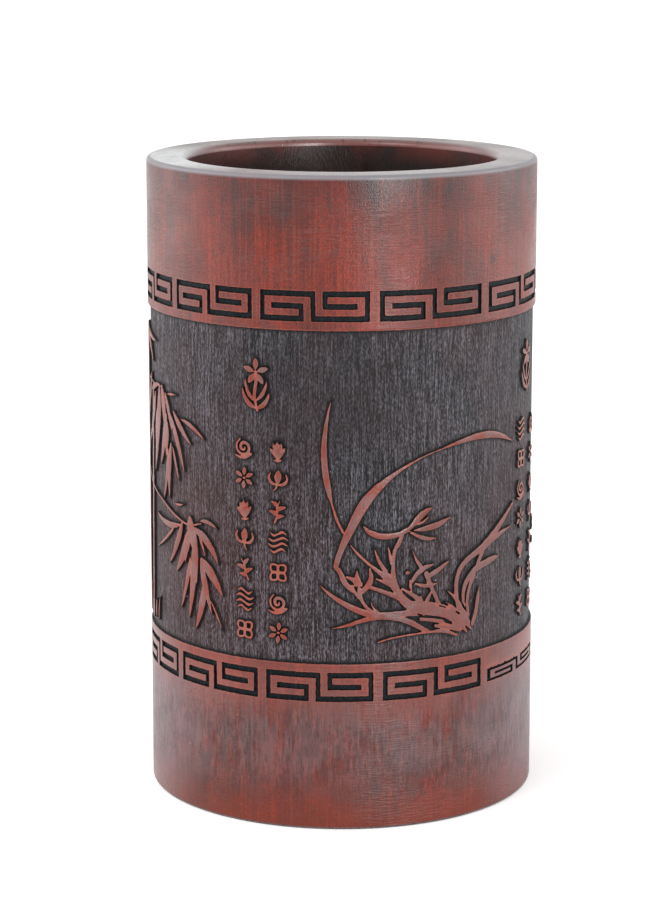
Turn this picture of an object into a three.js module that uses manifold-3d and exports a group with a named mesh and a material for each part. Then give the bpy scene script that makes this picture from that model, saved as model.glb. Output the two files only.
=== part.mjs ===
// Brush holder pot for a writing desk: a thick section of bamboo culm, turned smooth outside
// and in, engraved all round, and closed by a wooden disc glued into a rebate in its foot.
// Millimetres, +Z up, origin at the middle of the foot.

import * as THREE from 'three';
import { mergeVertices } from 'three/addons/utils/BufferGeometryUtils.js';
import Module from 'manifold-3d';

// ---- Driving dimensions -----------------------------------------------------------------

const potHeight = 150;
const outerRadius = 45.8;
const boreRadius = 36.4;
const rimOuterRounding = 1.0;
const rimInnerRounding = 1.6;
const footRounding = 0.6;

// The disc sits up inside the foot, so the pot stands on the culm's own end grain.
const rebateRadius = 39.4;
const rebateHeight = 7.2;
const glueThickness = 0.3;
const glueInnerRadius = 36.9;
const baseRecess = 0.9;
const baseChamfer = 0.5;

// The picture field is one shallow recess that runs right round the culm.
const fieldBottom = 39.2;
const fieldTop = 115.6;
const fieldDepth = 0.6;

// Two bands of meander border, each of paired square spirals cut as one continuous groove.
const fretHeight = 6.9;
const fretDepth = 0.6;
const fretLine = 1.35;
const fretPost = 1.1;
const fretRidge = 1.5;
const pairsInBand = 11;
const pairGap = 2.05;
const upperFret = { bottom: 117.6, firstAngle: -23.3, squashedPair: null };
const lowerFret = { bottom: 30.4, firstAngle: -22.0, squashedPair: 2 };

// The engraver's spacing opens on one side of the pot by this angle and closes on the other.
const spacingDrift = 6.9;

// The last pair of the lower band was cut low, to close the band.
const squash = 0.45;
const squashRise = 0.5;

const culmSegments = 72;
const segmentAngle = 360 / culmSegments;
const roundingSteps = 3;
const cutterOverrun = 1;

const degree = Math.PI / 180;

// ---- Turned pieces ----------------------------------------------------------------------

// A quarter round of profile points about a centre, in the plane of radius and height.
function rounding(centreRadius, centreHeight, size, fromDegrees, toDegrees) {
  const points = [];
  for (let step = 0; step <= roundingSteps; step += 1) {
    const angle = (fromDegrees + ((toDegrees - fromDegrees) * step) / roundingSteps) * degree;
    const radius = centreRadius + size * Math.cos(angle);
    const height = centreHeight + size * Math.sin(angle);
    points.push(new THREE.Vector2(radius, height));
  }
  return points;
}

function weld(geometry) {
  geometry.deleteAttribute('normal');
  geometry.deleteAttribute('uv');
  return mergeVertices(geometry);
}

// Turns a profile, listed up its outside and down its inside, about the pot's axis.
function turned(profile) {
  const closed = profile[0].x === 0 ? profile : [...profile, profile[0].clone()];
  const geometry = new THREE.LatheGeometry(closed, culmSegments);
  geometry.rotateX(Math.PI / 2);
  return weld(geometry);
}

function culmProfile() {
  const recessRadius = outerRadius - fieldDepth;
  const foot = rounding(outerRadius - footRounding, footRounding, footRounding, -90, 0);
  const rimOutside = rounding(
    outerRadius - rimOuterRounding, potHeight - rimOuterRounding, rimOuterRounding, 0, 90);
  const rimInside = rounding(
    boreRadius + rimInnerRounding, potHeight - rimInnerRounding, rimInnerRounding, 90, 180);
  return [
    new THREE.Vector2(rebateRadius, 0),
    ...foot,
    new THREE.Vector2(outerRadius, fieldBottom),
    new THREE.Vector2(recessRadius, fieldBottom),
    new THREE.Vector2(recessRadius, fieldTop),
    new THREE.Vector2(outerRadius, fieldTop),
    ...rimOutside,
    ...rimInside,
    new THREE.Vector2(boreRadius, rebateHeight),
    new THREE.Vector2(rebateRadius, rebateHeight),
  ];
}

function baseProfile() {
  const radius = rebateRadius - glueThickness;
  const top = rebateHeight - glueThickness;
  return [
    new THREE.Vector2(0, baseRecess),
    new THREE.Vector2(radius - baseChamfer, baseRecess),
    new THREE.Vector2(radius, baseRecess + baseChamfer),
    new THREE.Vector2(radius, top),
    new THREE.Vector2(0, top),
  ];
}

// The glue fills the gap round the disc's edge and between the disc and the rebate's shoulder.
function glueProfile() {
  const discRadius = rebateRadius - glueThickness;
  const discTop = rebateHeight - glueThickness;
  return [
    new THREE.Vector2(discRadius, baseRecess + baseChamfer),
    new THREE.Vector2(rebateRadius, baseRecess + baseChamfer),
    new THREE.Vector2(rebateRadius, rebateHeight),
    new THREE.Vector2(glueInnerRadius, rebateHeight),
    new THREE.Vector2(glueInnerRadius, discTop),
    new THREE.Vector2(discRadius, discTop),
  ];
}

// ---- Engraved meander borders -----------------------------------------------------------

const pitchAngle = 360 / pairsInBand;
const pitchLength = outerRadius * pitchAngle * degree;
const pairWidth = pitchLength - pairGap;

// The grooves of one pair, as rectangles on the unrolled band: [left, right, bottom, top].
// The second spiral is the first one turned half round, and they share the post between them.
function pairGrooves() {
  const middle = (fretHeight - fretLine) / 2;
  const sharedLeft = (pairWidth - fretPost) / 2;
  const sharedRight = sharedLeft + fretPost;
  const innerRight = sharedLeft - fretRidge;
  const spiral = [
    [0, fretPost, 0, fretHeight],
    [0, sharedRight, fretHeight - fretLine, fretHeight],
    [0, innerRight, 0, fretLine],
    [innerRight - fretPost, innerRight, 0, middle + fretLine],
    [fretPost + fretRidge, innerRight, middle, middle + fretLine],
  ];
  const turnedSpiral = spiral.map(([left, right, bottom, top]) => [
    pairWidth - right, pairWidth - left, fretHeight - top, fretHeight - bottom]);
  return [...spiral, ...turnedSpiral, [sharedLeft, sharedRight, 0, fretHeight]];
}

// Angle round the pot, from the front towards the right, of a distance along the band.
function bandAngle(distance, firstAngle) {
  const even = (distance / pitchLength) * pitchAngle;
  return firstAngle + even + spacingDrift * (1 - Math.cos(even * degree));
}

// A curved block that cuts one straight groove into the culm's skin.
function grooveCutter(fromAngle, toAngle, bottom, top) {
  const start = (fromAngle - 90) * degree;
  const end = (toAngle - 90) * degree;
  const sector = new THREE.Shape();
  sector.absarc(0, 0, outerRadius + cutterOverrun, start, end, false);
  sector.absarc(0, 0, outerRadius - fretDepth, end, start, true);
  sector.closePath();
  const steps = Math.max(1, Math.round((toAngle - fromAngle) / segmentAngle));
  const geometry = new THREE.ExtrudeGeometry(
    sector, { depth: top - bottom, bevelEnabled: false, curveSegments: steps });
  geometry.translate(0, 0, bottom);
  return weld(geometry);
}

function bandCutters(band) {
  const cutters = [];
  for (let pair = 0; pair < pairsInBand; pair += 1) {
    const squashed = pair === band.squashedPair;
    const scale = squashed ? squash : 1;
    const foot = band.bottom + (squashed ? squashRise : 0);
    for (const [left, right, bottom, top] of pairGrooves()) {
      const fromAngle = bandAngle(pair * pitchLength + left, band.firstAngle);
      const toAngle = bandAngle(pair * pitchLength + right, band.firstAngle);
      cutters.push(grooveCutter(fromAngle, toAngle, foot + bottom * scale, foot + top * scale));
    }
  }
  return cutters;
}

// ---- Cutting ----------------------------------------------------------------------------

const wasm = await Module();
wasm.setup();

function solidOf(geometry) {
  const mesh = new wasm.Mesh({
    numProp: 3,
    vertProperties: new Float32Array(geometry.attributes.position.array),
    triVerts: new Uint32Array(geometry.index.array),
  });
  return new wasm.Manifold(mesh);
}

function geometryOf(solid) {
  const mesh = solid.getMesh();
  const geometry = new THREE.BufferGeometry();
  geometry.setAttribute('position', new THREE.BufferAttribute(mesh.vertProperties, 3));
  geometry.setIndex(new THREE.BufferAttribute(mesh.triVerts, 1));
  return geometry;
}

function engravedCulm() {
  let grooves = null;
  for (const cutter of [...bandCutters(upperFret), ...bandCutters(lowerFret)]) {
    const solid = solidOf(cutter);
    grooves = grooves === null ? solid : grooves.add(solid);
  }
  return geometryOf(solidOf(turned(culmProfile())).subtract(grooves));
}

// ---- Pieces -----------------------------------------------------------------------------

function piece(name, geometry, color, roughness) {
  geometry.computeVertexNormals();
  const material = new THREE.MeshStandardMaterial({ color, roughness, metalness: 0 });
  const mesh = new THREE.Mesh(geometry, material);
  mesh.name = name;
  return mesh;
}

const brushPot = new THREE.Group();
brushPot.add(piece('bamboo_wall', engravedCulm(), 0x9a4a3a, 0.38));
brushPot.add(piece('base_disc', turned(baseProfile()), 0x5c3325, 0.6));
brushPot.add(piece('base_glue_line', turned(glueProfile()), 0x8a6a3c, 0.35));

export default brushPot;
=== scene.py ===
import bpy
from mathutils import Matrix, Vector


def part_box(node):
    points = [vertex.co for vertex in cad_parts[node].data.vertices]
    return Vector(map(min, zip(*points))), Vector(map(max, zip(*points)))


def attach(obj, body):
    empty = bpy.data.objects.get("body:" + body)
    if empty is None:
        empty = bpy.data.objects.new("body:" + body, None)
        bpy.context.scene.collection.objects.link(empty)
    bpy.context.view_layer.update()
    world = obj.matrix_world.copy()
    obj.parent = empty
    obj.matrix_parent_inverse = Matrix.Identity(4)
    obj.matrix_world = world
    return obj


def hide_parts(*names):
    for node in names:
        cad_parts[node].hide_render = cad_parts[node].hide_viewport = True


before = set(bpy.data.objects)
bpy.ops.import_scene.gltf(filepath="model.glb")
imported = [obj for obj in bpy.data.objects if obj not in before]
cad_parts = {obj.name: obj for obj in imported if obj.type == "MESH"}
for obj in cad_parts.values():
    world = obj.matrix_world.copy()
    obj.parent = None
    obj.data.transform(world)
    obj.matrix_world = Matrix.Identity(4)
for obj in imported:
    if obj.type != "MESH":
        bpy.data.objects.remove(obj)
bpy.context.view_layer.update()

# Looks for a carved brush pot: a section of red-stained bamboo culm whose engraver cut two
# meander borders and, between them, a scraped and scorched field with four plants left
# standing at the level of the skin. The layout is drawn flat, in millimetres, as the
# engraver marks it out: x runs round the culm from the front towards the right, y is the
# height above the foot, and depth is measured inwards from the skin. It is then wrapped.

import math

import bmesh
import bpy
import numpy as np
from mathutils import Vector
from mathutils.geometry import delaunay_2d_cdt

# ---- Sizes ------------------------------------------------------------------------------

MM = 0.001

# What the solid model settles: the outline of the wall and of the let-in base.
wall_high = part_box("bamboo_wall")[1]
disc_low, disc_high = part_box("base_disc")
glue_low, glue_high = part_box("base_glue_line")

POT_HEIGHT = wall_high.z / MM
SKIN_RADIUS = wall_high.y / MM
DISC_RADIUS = disc_high.y / MM
DISC_BOTTOM = disc_low.z / MM
DISC_TOP = disc_high.z / MM
REBATE_RADIUS = glue_high.y / MM
REBATE_HEIGHT = glue_high.z / MM
GLUE_BOTTOM = glue_low.z / MM
GIRTH = 2 * math.pi * SKIN_RADIUS

BORE_RADIUS = 36.4
GLUE_INNER_RADIUS = BORE_RADIUS + 0.5
BOARD_BEVEL = 0.5
RIM_OUTER_ROUNDING = 1.0
RIM_INNER_ROUNDING = 1.6
FOOT_ROUNDING = 0.6

# The scraped field. The lip is the strip of skin that its sheet carries past each edge.
FIELD_BOTTOM = 39.2
FIELD_TOP = 115.6
FIELD_LIP = 0.5
CARVING_DEPTH = 0.6
CARVING_SLOPE = 0.18

# The knife trims each side of a drawn stroke, rubbing rounds what stands, and the scorching
# runs on from the foot of every edge, deepened there by painted shade.
STROKE_TRIM = 0.05
EDGE_ROUNDING = 0.06
EDGE_REACH = 0.3
SCORCH_REACH = 0.95

# The meander bands. A line lies along the band, a post stands across it, and a ridge is the
# skin left between two posts.
FRET_HEIGHT = 6.9
FRET_DEPTH = 0.6
FRET_LINE = 1.35
FRET_POST = 1.1
FRET_RIDGE = 1.5
FRET_SLOPE = 0.14
FRET_LIP = 0.5
PAIRS_IN_BAND = 11
PAIR_GAP = 2.05
PITCH = GIRTH / PAIRS_IN_BAND
UPPER_FRET = {"bottom": 117.6, "first_angle": -23.3, "squashed_pair": -1}
LOWER_FRET = {"bottom": 30.4, "first_angle": -22.0, "squashed_pair": 2}

# The engraver's spacing opens on one side of the pot by this angle and closes on the other.
SPACING_DRIFT = 6.9

# One pair of the lower band was cut low: its share of the full height, and how far it starts
# above the others.
SQUASH = 0.45
SQUASH_RISE = 0.5

# Rows of points on the plain stretches of the wall, and points in every turned ring.
SIDE_ROW = 2.4
RIM_ROW = 1.6
BORE_ROW = 6
RING_POINTS = 240

# Points closer than this, in metres, are welded into one, and edges that turn by more than
# this, in degrees, stay crisp.
SHEET_WELD = 0.00001
PIECE_WELD = 0.000002
SHARP_ABOVE = 32


# ---- Drawing on the flat layout -----------------------------------------------------------

STEPS_BETWEEN_POINTS = 6
FINEST_WIDTH = 0.02


def spline(points):
    """Points on a smooth line through the given ones. Each point is (x, y, width)."""
    given = np.array(points, dtype=float)
    padded = np.vstack([2 * given[0] - given[1], given, 2 * given[-1] - given[-2]])
    share = np.linspace(0, 1, STEPS_BETWEEN_POINTS, endpoint=False)[:, None]
    pieces = []
    for before, start, end, after in zip(padded, padded[1:], padded[2:], padded[3:]):
        pieces.append(0.5 * (
            2 * start + (end - before) * share
            + (2 * before - 5 * start + 4 * end - after) * share ** 2
            + (3 * start - before - 3 * end + after) * share ** 3))
    pieces.append(given[-1:])
    line = np.vstack(pieces)
    line[:, 2] = np.maximum(line[:, 2], FINEST_WIDTH)
    return line


class Layout:
    """Signed distance, in millimetres, to what is drawn on a flat strip: negative inside.

    It is kept true up to the reach from a shape, and the tremor is how far edges wander."""

    REACH = 1.6
    TREMOR = 0.035

    def __init__(self, left, right, bottom, top, step, girth=None):
        self.left, self.bottom, self.right, self.top = left, bottom, right, top
        self.girth = girth
        columns = int(round((right - left) / step)) + 1
        rows = int(round((top - bottom) / step)) + 1
        self.x = np.linspace(left, right, columns)
        self.y = np.linspace(bottom, top, rows)
        self.step_x = self.x[1] - self.x[0]
        self.step_y = self.y[1] - self.y[0]
        self.distance = np.full((rows, columns), self.REACH, np.float32)

    def _lay(self, low_x, high_x, low_y, high_y, measure, cut=False):
        """Adds a shape to what is drawn, or cuts it out, near the box that holds it."""
        first = max(int((low_x - self.left - self.REACH) / self.step_x), 0)
        last = min(int((high_x - self.left + self.REACH) / self.step_x) + 2, len(self.x))
        under = max(int((low_y - self.bottom - self.REACH) / self.step_y), 0)
        over = min(int((high_y - self.bottom + self.REACH) / self.step_y) + 2, len(self.y))
        if first >= last or under >= over:
            return
        x = self.x[None, first:last]
        y = self.y[under:over, None]
        window = self.distance[under:over, first:last]
        if cut:
            np.maximum(window, -measure(x, y), out=window)
        else:
            np.minimum(window, measure(x, y), out=window)

    def stroke(self, points, cut=False):
        """A line whose width swells and tapers as its points say, repeated round the girth."""
        line = spline(points)
        shifts = (0,) if self.girth is None else (-self.girth, 0, self.girth)
        for shift in shifts:
            low = line[:, 0].min() + shift
            high = line[:, 0].max() + shift
            if high < self.left - self.REACH or low > self.right + self.REACH:
                continue
            for (ax, ay, aw), (bx, by, bw) in zip(line, line[1:]):
                self._segment(ax + shift, ay, aw / 2, bx + shift, by, bw / 2, cut)

    def _segment(self, ax, ay, a_half, bx, by, b_half, cut):
        """A straight piece of a stroke, with its half width at either end."""
        run_x, run_y = bx - ax, by - ay
        length = max(run_x * run_x + run_y * run_y, 1e-9)

        def measure(x, y):
            share = np.clip(((x - ax) * run_x + (y - ay) * run_y) / length, 0, 1)
            gap = np.hypot(x - ax - share * run_x, y - ay - share * run_y)
            return gap - (a_half + share * (b_half - a_half))

        self._lay(min(ax, bx), max(ax, bx), min(ay, by), max(ay, by), measure, cut)

    def rectangle(self, left, right, bottom, top):
        """A straight run of a groove."""
        def measure(x, y):
            over_x = np.maximum(left - x, x - right)
            over_y = np.maximum(bottom - y, y - top)
            outside = np.hypot(np.maximum(over_x, 0), np.maximum(over_y, 0))
            return outside + np.minimum(np.maximum(over_x, over_y), 0)

        self._lay(left, right, bottom, top, measure)

    def shake(self):
        """The tremor of the hand: edges wander by a few hundredths, the same at both ends."""
        turn = 2 * math.pi / (self.right - self.left)
        x = self.x[None, :] * turn
        y = self.y[:, None]
        self.distance += self.TREMOR * (
            np.sin(round(2.1 / turn) * x + 1.3 * y) * np.sin(1.9 * y - round(0.6 / turn) * x)
            + 0.7 * np.sin(round(4.7 / turn) * x - 2.9 * y + 1.0)).astype(np.float32)

    def sample(self, x, y):
        """The distance at any places on the strip."""
        column = np.clip((x - self.left) / self.step_x, 0, len(self.x) - 1.001)
        row = np.clip((y - self.bottom) / self.step_y, 0, len(self.y) - 1.001)
        c, r = column.astype(int), row.astype(int)
        u, v = column - c, row - r
        d = self.distance
        return ((d[r, c] * (1 - u) + d[r, c + 1] * u) * (1 - v)
                + (d[r + 1, c] * (1 - u) + d[r + 1, c + 1] * u) * v)

    def outlines(self, level, tolerance):
        """Lines along which the distance has one value, thinned to a tolerance."""
        return [thinned(chain, tolerance) for chain in self._chains(level) if len(chain) > 3]

    # Which sides of a grid cell an outline enters and leaves by, for each way in which the
    # cell's corners can lie inside (bits: low left, low right, high right, high left).
    CROSSINGS = {
        1: ("bl",), 2: ("rb",), 3: ("rl",), 4: ("tr",), 5: ("bl", "tr"), 6: ("tb",),
        7: ("tl",), 8: ("lt",), 9: ("bt",), 10: ("rb", "lt"), 11: ("rt",), 12: ("lr",),
        13: ("br",), 14: ("lb",)}

    def _chains(self, level):
        """Follows every outline of a level from grid cell to grid cell."""
        d = self.distance - level
        rows, columns = d.shape
        inside = (d < 0).astype(int)
        kind = inside[:-1, :-1] + 2 * inside[:-1, 1:] + 4 * inside[1:, 1:] + 8 * inside[1:, :-1]
        upright = rows * columns
        sides = {"b": (0, 0, 0), "t": (0, 1, 0), "l": (upright, 0, 0), "r": (upright, 0, 1)}

        def side_number(side, row, column):
            base, up, along = sides[side]
            return base + (row + up) * columns + column + along

        follows = {}
        for case, pairs in self.CROSSINGS.items():
            row, column = np.nonzero(kind == case)
            for enters, leaves in pairs:
                start = side_number(enters, row, column).tolist()
                end = side_number(leaves, row, column).tolist()
                follows.update(zip(start, end))
        open_starts = set(follows) - set(follows.values())
        chains = []
        for start in sorted(open_starts) + sorted(follows):
            if start not in follows:
                continue
            chain = [start]
            while chain[-1] in follows:
                chain.append(follows.pop(chain[-1]))
            chains.append(self._crossing_points(d, np.array(chain)))
        return chains

    def _crossing_points(self, d, sides):
        """Where an outline crosses the numbered sides of the grid cells, on the strip."""
        columns = d.shape[1]
        is_upright = sides >= d.size
        spot = np.where(is_upright, sides - d.size, sides)
        row, column = spot // columns, spot % columns
        here = d[row, column]
        there = d[row + is_upright, column + ~is_upright]
        share = here / (here - there)
        x = self.left + (column + np.where(is_upright, 0, share)) * self.step_x
        y = self.bottom + (row + np.where(is_upright, share, 0)) * self.step_y
        return np.column_stack([x, y])


def thinned(chain, tolerance):
    """The fewest points of a chain that stay within a tolerance of all the others."""
    closed = np.allclose(chain[0], chain[-1])
    keep = np.zeros(len(chain), bool)
    keep[[0, -1]] = True
    spans = [(0, len(chain) - 1)]
    if closed:
        far = int(np.argmax(np.hypot(*(chain - chain[0]).T)))
        keep[far] = True
        spans = [(0, far), (far, len(chain) - 1)]
    while spans:
        first, last = spans.pop()
        if last - first < 2:
            continue
        start, run = chain[first], chain[last] - chain[first]
        length = max(math.hypot(*run), 1e-9)
        between = chain[first + 1:last] - start
        off = np.abs(between[:, 0] * run[1] - between[:, 1] * run[0]) / length
        worst = int(np.argmax(off))
        if off[worst] > tolerance:
            middle = first + 1 + worst
            keep[middle] = True
            spans += [(first, middle), (middle, last)]
    return chain[keep]


# The carved depth, the scorch with its painted shade, and the painted edge highlight.
ATTRIBUTES = ("carved", "scorch_and_shade", "edge")


def flat_sheet(name, layout, levels, column_step, row_step, measures):
    """A flat mesh cut along a layout's outlines, in metres: x along, y up, z outwards.

    The measures give the depth, the scorch deepened by painted shade, and the painted edge
    highlight at a distance from what is drawn."""
    points, edges = [], []

    def add_line(line):
        first = len(points)
        points.extend(Vector(point) for point in line)
        edges.extend((i, i + 1) for i in range(first, len(points) - 1))

    for level, tolerance in levels:
        for line in layout.outlines(level, tolerance):
            add_line(line)
    # Between the outlines, upright lines let the sheet bend round the culm.
    columns = int(round((layout.right - layout.left) / column_step))
    rows = max(int(round((layout.top - layout.bottom) / row_step)), 1)
    heights = np.linspace(layout.bottom, layout.top, rows + 1)
    for x in np.linspace(layout.left, layout.right, columns + 1):
        at_side = x in (layout.left, layout.right)
        add_line([(x, y) for y in (heights[[0, -1]] if at_side else heights)])
    for y in (layout.bottom, layout.top):
        add_line([(x, y) for x in (layout.left, layout.right)])

    nearest = 1e-5
    flat, _, faces, *_ = delaunay_2d_cdt(points, edges, [], 0, nearest)
    place = np.array([point[:] for point in flat])
    distance = layout.sample(place[:, 0], place[:, 1])
    depth, scorch_and_shade, edge = (measure(distance) for measure in measures)
    mesh = bpy.data.meshes.new(name)
    mesh.from_pydata(np.column_stack([place, -depth]) * MM, [], faces)
    for attribute, values in zip(ATTRIBUTES, (depth / depth.max(), scorch_and_shade, edge)):
        mesh.attributes.new(attribute, "FLOAT", "POINT").data.foreach_set("value", values)
    return mesh


def ramp(values, start, end):
    """0 up to start, 1 from end, and nearly-level values snapped to level."""
    share = np.clip((values - start) / (end - start), 0, 1)
    return np.where(share < 0.2, 0, np.where(share > 0.8, 1, share))


# ---- The plants ---------------------------------------------------------------------------

def placed(strokes, x=0, y=0, turn=0, size=1, flip=1):
    """Strokes turned by degrees, scaled and moved on the layout."""
    cos, sin = math.cos(math.radians(turn)), math.sin(math.radians(turn))
    return [[(x + size * (flip * px * cos - py * sin), y + size * (flip * px * sin + py * cos),
              width * size) for px, py, width in stroke] for stroke in strokes]


def blade(x0, y0, x1, y1, width, bend=0.0, belly=0.4):
    """A leaf from its stalk end to its tip, bowed sideways by a share of its length."""
    run_x, run_y = x1 - x0, y1 - y0
    shape = ((0, 0.3), (belly * 0.5, 0.85), (belly, 1), (0.75, 0.62), (1, 0.04))
    return [(x0 + run_x * t - run_y * bend * 4 * t * (1 - t),
             y0 + run_y * t + run_x * bend * 4 * t * (1 - t), width * w) for t, w in shape]


def orchid():
    """Arching leaves from a root clump on the right, and three open blossoms."""
    long_leaves = [
        [(-2.3, 100.2, 0.05), (-3.3, 95.5, 0.7), (-3.9, 90, 1.2), (-3.8, 85, 1.45),
         (-3.0, 80, 1.35), (-2.2, 76.6, 0.5), (-1.1, 73, 0.65), (0.4, 69.8, 0.5)],
        [(2.1, 66.9, 0.3), (4, 64.6, 0.6), (6.6, 62.2, 0.7), (9.4, 59.8, 1.1),
         (12, 57, 1.5), (14.4, 53.6, 2.0), (17.5, 51.2, 2.2)],
        [(-1.3, 62.1, 1.1), (-0.4, 65, 1.35), (1.3, 69, 1.7), (3.3, 73.2, 2.2),
         (5.5, 76.9, 2.3), (8, 79.7, 1.9), (11, 82.2, 1.15), (14.5, 84.4, 0.65),
         (19, 86.5, 0.32), (24, 87.9, 0.35), (28, 88.8, 0.85), (33, 89.5, 1.4),
         (38, 89.4, 1.7), (43, 88.3, 1.2), (48, 86.2, 0.1)],
        [(-1.3, 62.1, 1.0), (-0.2, 60.4, 1.1), (0.7, 58.4, 1.3), (2.2, 56.7, 0.9),
         (3.6, 55.6, 0.2)],
        [(-5, 57.8, 0.05), (-2.8, 55.7, 0.75), (0, 53.8, 1.1), (3.2, 52.1, 1.4),
         (6.5, 50.9, 1.5), (10, 50.5, 1.4), (14.5, 50.6, 1.4), (19, 50.6, 2.0)],
        [(-2, 47.6, 0.15), (1.5, 48.4, 0.7), (5, 49.5, 1.0), (9, 50, 1.0), (13, 49.5, 1.2),
         (16, 48.4, 1.3), (18.5, 46.9, 1.1), (20.5, 45.9, 0.7)],
        [(8.3, 44.2, 0.3), (11, 44.9, 0.4), (15, 45.4, 0.45), (20, 45.6, 0.5),
         (24.5, 45.4, 0.9), (28.3, 43.9, 0.5)],
        [(6.3, 57.2, 0.8), (9, 56.2, 0.9), (12, 54.9, 1.1), (14.6, 53.4, 1.3),
         (16.6, 51.6, 1.5)],
        [(7.3, 66.4, 0.1), (8.3, 63.6, 0.7), (9.8, 61, 1.0), (11.6, 58.6, 1.2)],
        [(7.9, 59, 0.3), (10, 58.1, 0.8), (12.2, 56.8, 1.0)],
    ]
    right_leaves = [
        [(28.8, 49.5, 1.1), (28.1, 53, 1.1), (28, 56.2, 1.1), (28.7, 58.7, 1.2),
         (30.3, 60.6, 1.3), (32.8, 62, 1.4), (35.8, 63.2, 1.8), (38.6, 64.7, 2.2),
         (41.3, 66.7, 1.6), (44.5, 69.1, 1.1), (48.4, 71.8, 0.35)],
        [(38.4, 64, 0.9), (41, 65, 1.2), (44, 65.8, 0.8), (47.4, 66.3, 0.08)],
        [(30.4, 49, 0.8), (30, 52.6, 0.9), (30.5, 55.2, 1.2), (32, 57.3, 1.3),
         (34.3, 58.8, 1.6), (37.2, 59.5, 1.7), (40.2, 60.1, 1.2), (42, 60.2, 0.15)],
        [(34.3, 59.5, 0.9), (35.4, 61.4, 1.1), (36.7, 63.2, 0.8)],
        [(31.6, 48, 0.8), (31.2, 51.4, 0.8), (31.8, 54.4, 0.9), (33.3, 57.4, 1.1)],
        [(33, 45.9, 1.1), (34, 48.6, 1.1), (34.6, 51.6, 1.1), (35, 54.2, 0.2)],
        [(25.6, 54.6, 0.2), (27.2, 53.2, 0.7), (28.8, 51.2, 1.0), (30.4, 48.6, 1.2),
         (31.6, 46.4, 1.3)],
        [(25, 52.1, 0.15), (26.6, 51, 0.6), (28.2, 49.6, 0.8)],
    ]
    clump = [
        [(15.4, 52.6, 1.6), (19, 51.8, 2.6), (23, 50.9, 2.3), (27, 49.4, 2.0),
         (30, 47.4, 1.8), (32.6, 44.6, 0.4)],
        [(16.4, 50.9, 1.2), (20.6, 50.1, 1.1), (25, 48.9, 1.1), (29.2, 46.4, 1.5),
         (31.2, 44.2, 0.4)],
        [(18.6, 48.9, 0.8), (22, 48.2, 0.9), (25.4, 47.2, 1.0), (28.6, 45.6, 1.3)],
        [(22.4, 46.9, 0.8), (25.6, 46.1, 0.9), (29.2, 44.9, 0.8)],
        [(21.4, 55.4, 0.3), (20.4, 53.6, 0.9), (19.6, 52, 1.2)],
        [(18.6, 54.2, 0.3), (18, 52.6, 0.9)],
        [(14, 56.4, 0.5), (16.4, 54.8, 0.9), (18.4, 53.2, 1.4)],
    ]
    upper_blossom = [
        [(5, 71.2, 0.3), (6.6, 69.7, 1.2), (9.4, 68.8, 1.35), (12.4, 68.9, 1.2),
         (15.4, 69.8, 0.7)],
        [(13.6, 69.4, 0.7), (15.8, 70.4, 0.9), (17.6, 72.2, 1.4), (19.4, 73.7, 1.3),
         (21.2, 74.5, 0.3)],
        [(17, 71.2, 0.7), (18.6, 71.3, 0.6), (20.4, 72.5, 0.25)],
        [(16.8, 69.7, 0.3), (19.6, 69.9, 1.2), (22.8, 70.5, 1.4), (26, 71.8, 0.35)],
        [(16, 69.3, 0.5), (18.2, 68.1, 0.9), (20.2, 67.5, 0.9), (22.2, 67.4, 0.3)],
        [(14, 69.2, 0.9), (13.3, 67.3, 1.1), (12.2, 65.3, 0.9), (11.8, 62.6, 0.9),
         (11.9, 59.4, 1.1), (12.6, 56.4, 1.5)],
        [(10.6, 66.4, 0.15), (11, 64.6, 0.6), (11.4, 62.4, 0.7)],
    ]
    middle_blossom = [
        [(16.4, 65, 0.15), (17.4, 62.8, 0.6), (18.6, 61, 1.0)],
        [(16.3, 57.8, 0.8), (17.5, 59.4, 1.1), (19.3, 60.7, 1.2), (21.8, 61.4, 0.3)],
        [(20, 58.6, 0.9), (22.4, 59.6, 1.2), (25.6, 61.5, 0.5)],
        [(17.2, 57.3, 0.5), (19.2, 56.6, 0.9), (21.2, 56.6, 0.8), (22.8, 56.9, 0.2)],
        [(15.9, 58.2, 0.5), (15.9, 56.8, 0.5), (16.4, 55.2, 0.15)],
        [(19.9, 59.4, 1.2), (20.8, 57, 1.0), (22.2, 54, 0.9), (23.6, 51, 1.1)],
        [(15.2, 60, 0.9), (15.4, 60, 0.9)],
    ]
    low_blossom = [
        [(3.5, 61, 0.2), (3.6, 59.2, 1.2), (4.2, 57.4, 1.1)],
        [(1.2, 59.6, 0.6), (2.6, 59, 0.9), (3.4, 57.8, 0.9)],
        [(6.4, 61.4, 0.4), (6.7, 59.4, 1.1), (6.1, 57.7, 1.3), (4.8, 56.2, 1.2)],
        [(4.3, 58, 1.0), (4.1, 55.8, 1.1), (4.7, 54, 0.8), (5.9, 52.3, 0.7),
         (7.6, 51, 0.8)],
        [(6.6, 53.9, 0.1), (7.2, 52.4, 0.5), (8.2, 51.2, 0.7)],
        [(2.4, 57.6, 0.5), (3, 56.2, 0.7), (4, 54.8, 0.8)],
    ]
    return long_leaves + right_leaves + clump + upper_blossom + middle_blossom + low_blossom


# Nicks that part the leaves of the root clump, and the veins of the low blossom.
ORCHID_NICKS = [
    [(17.9, 50.1, 0.4), (18.9, 49.7, 0.5)],
    [(24.7, 47.7, 0.4), (25.6, 47.3, 0.65), (26.8, 46.8, 0.35)],
    [(28.0, 49.4, 0.5), (28.8, 48.9, 0.65)],
    [(29.4, 51.6, 0.3), (30.1, 50.4, 0.6), (30.9, 49.3, 0.35)],
    [(32.1, 48.5, 0.3), (32.7, 47.8, 0.5), (33.1, 47.1, 0.3)],
    [(22.3, 51.9, 0.25), (24.4, 51.1, 0.4), (26.2, 50.4, 0.25)],
    [(4.2, 57.6, 0.35), (4.5, 57.1, 0.4)],
    [(10.2, 61.0, 0.2), (11.2, 59.6, 0.35)],
]


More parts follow.
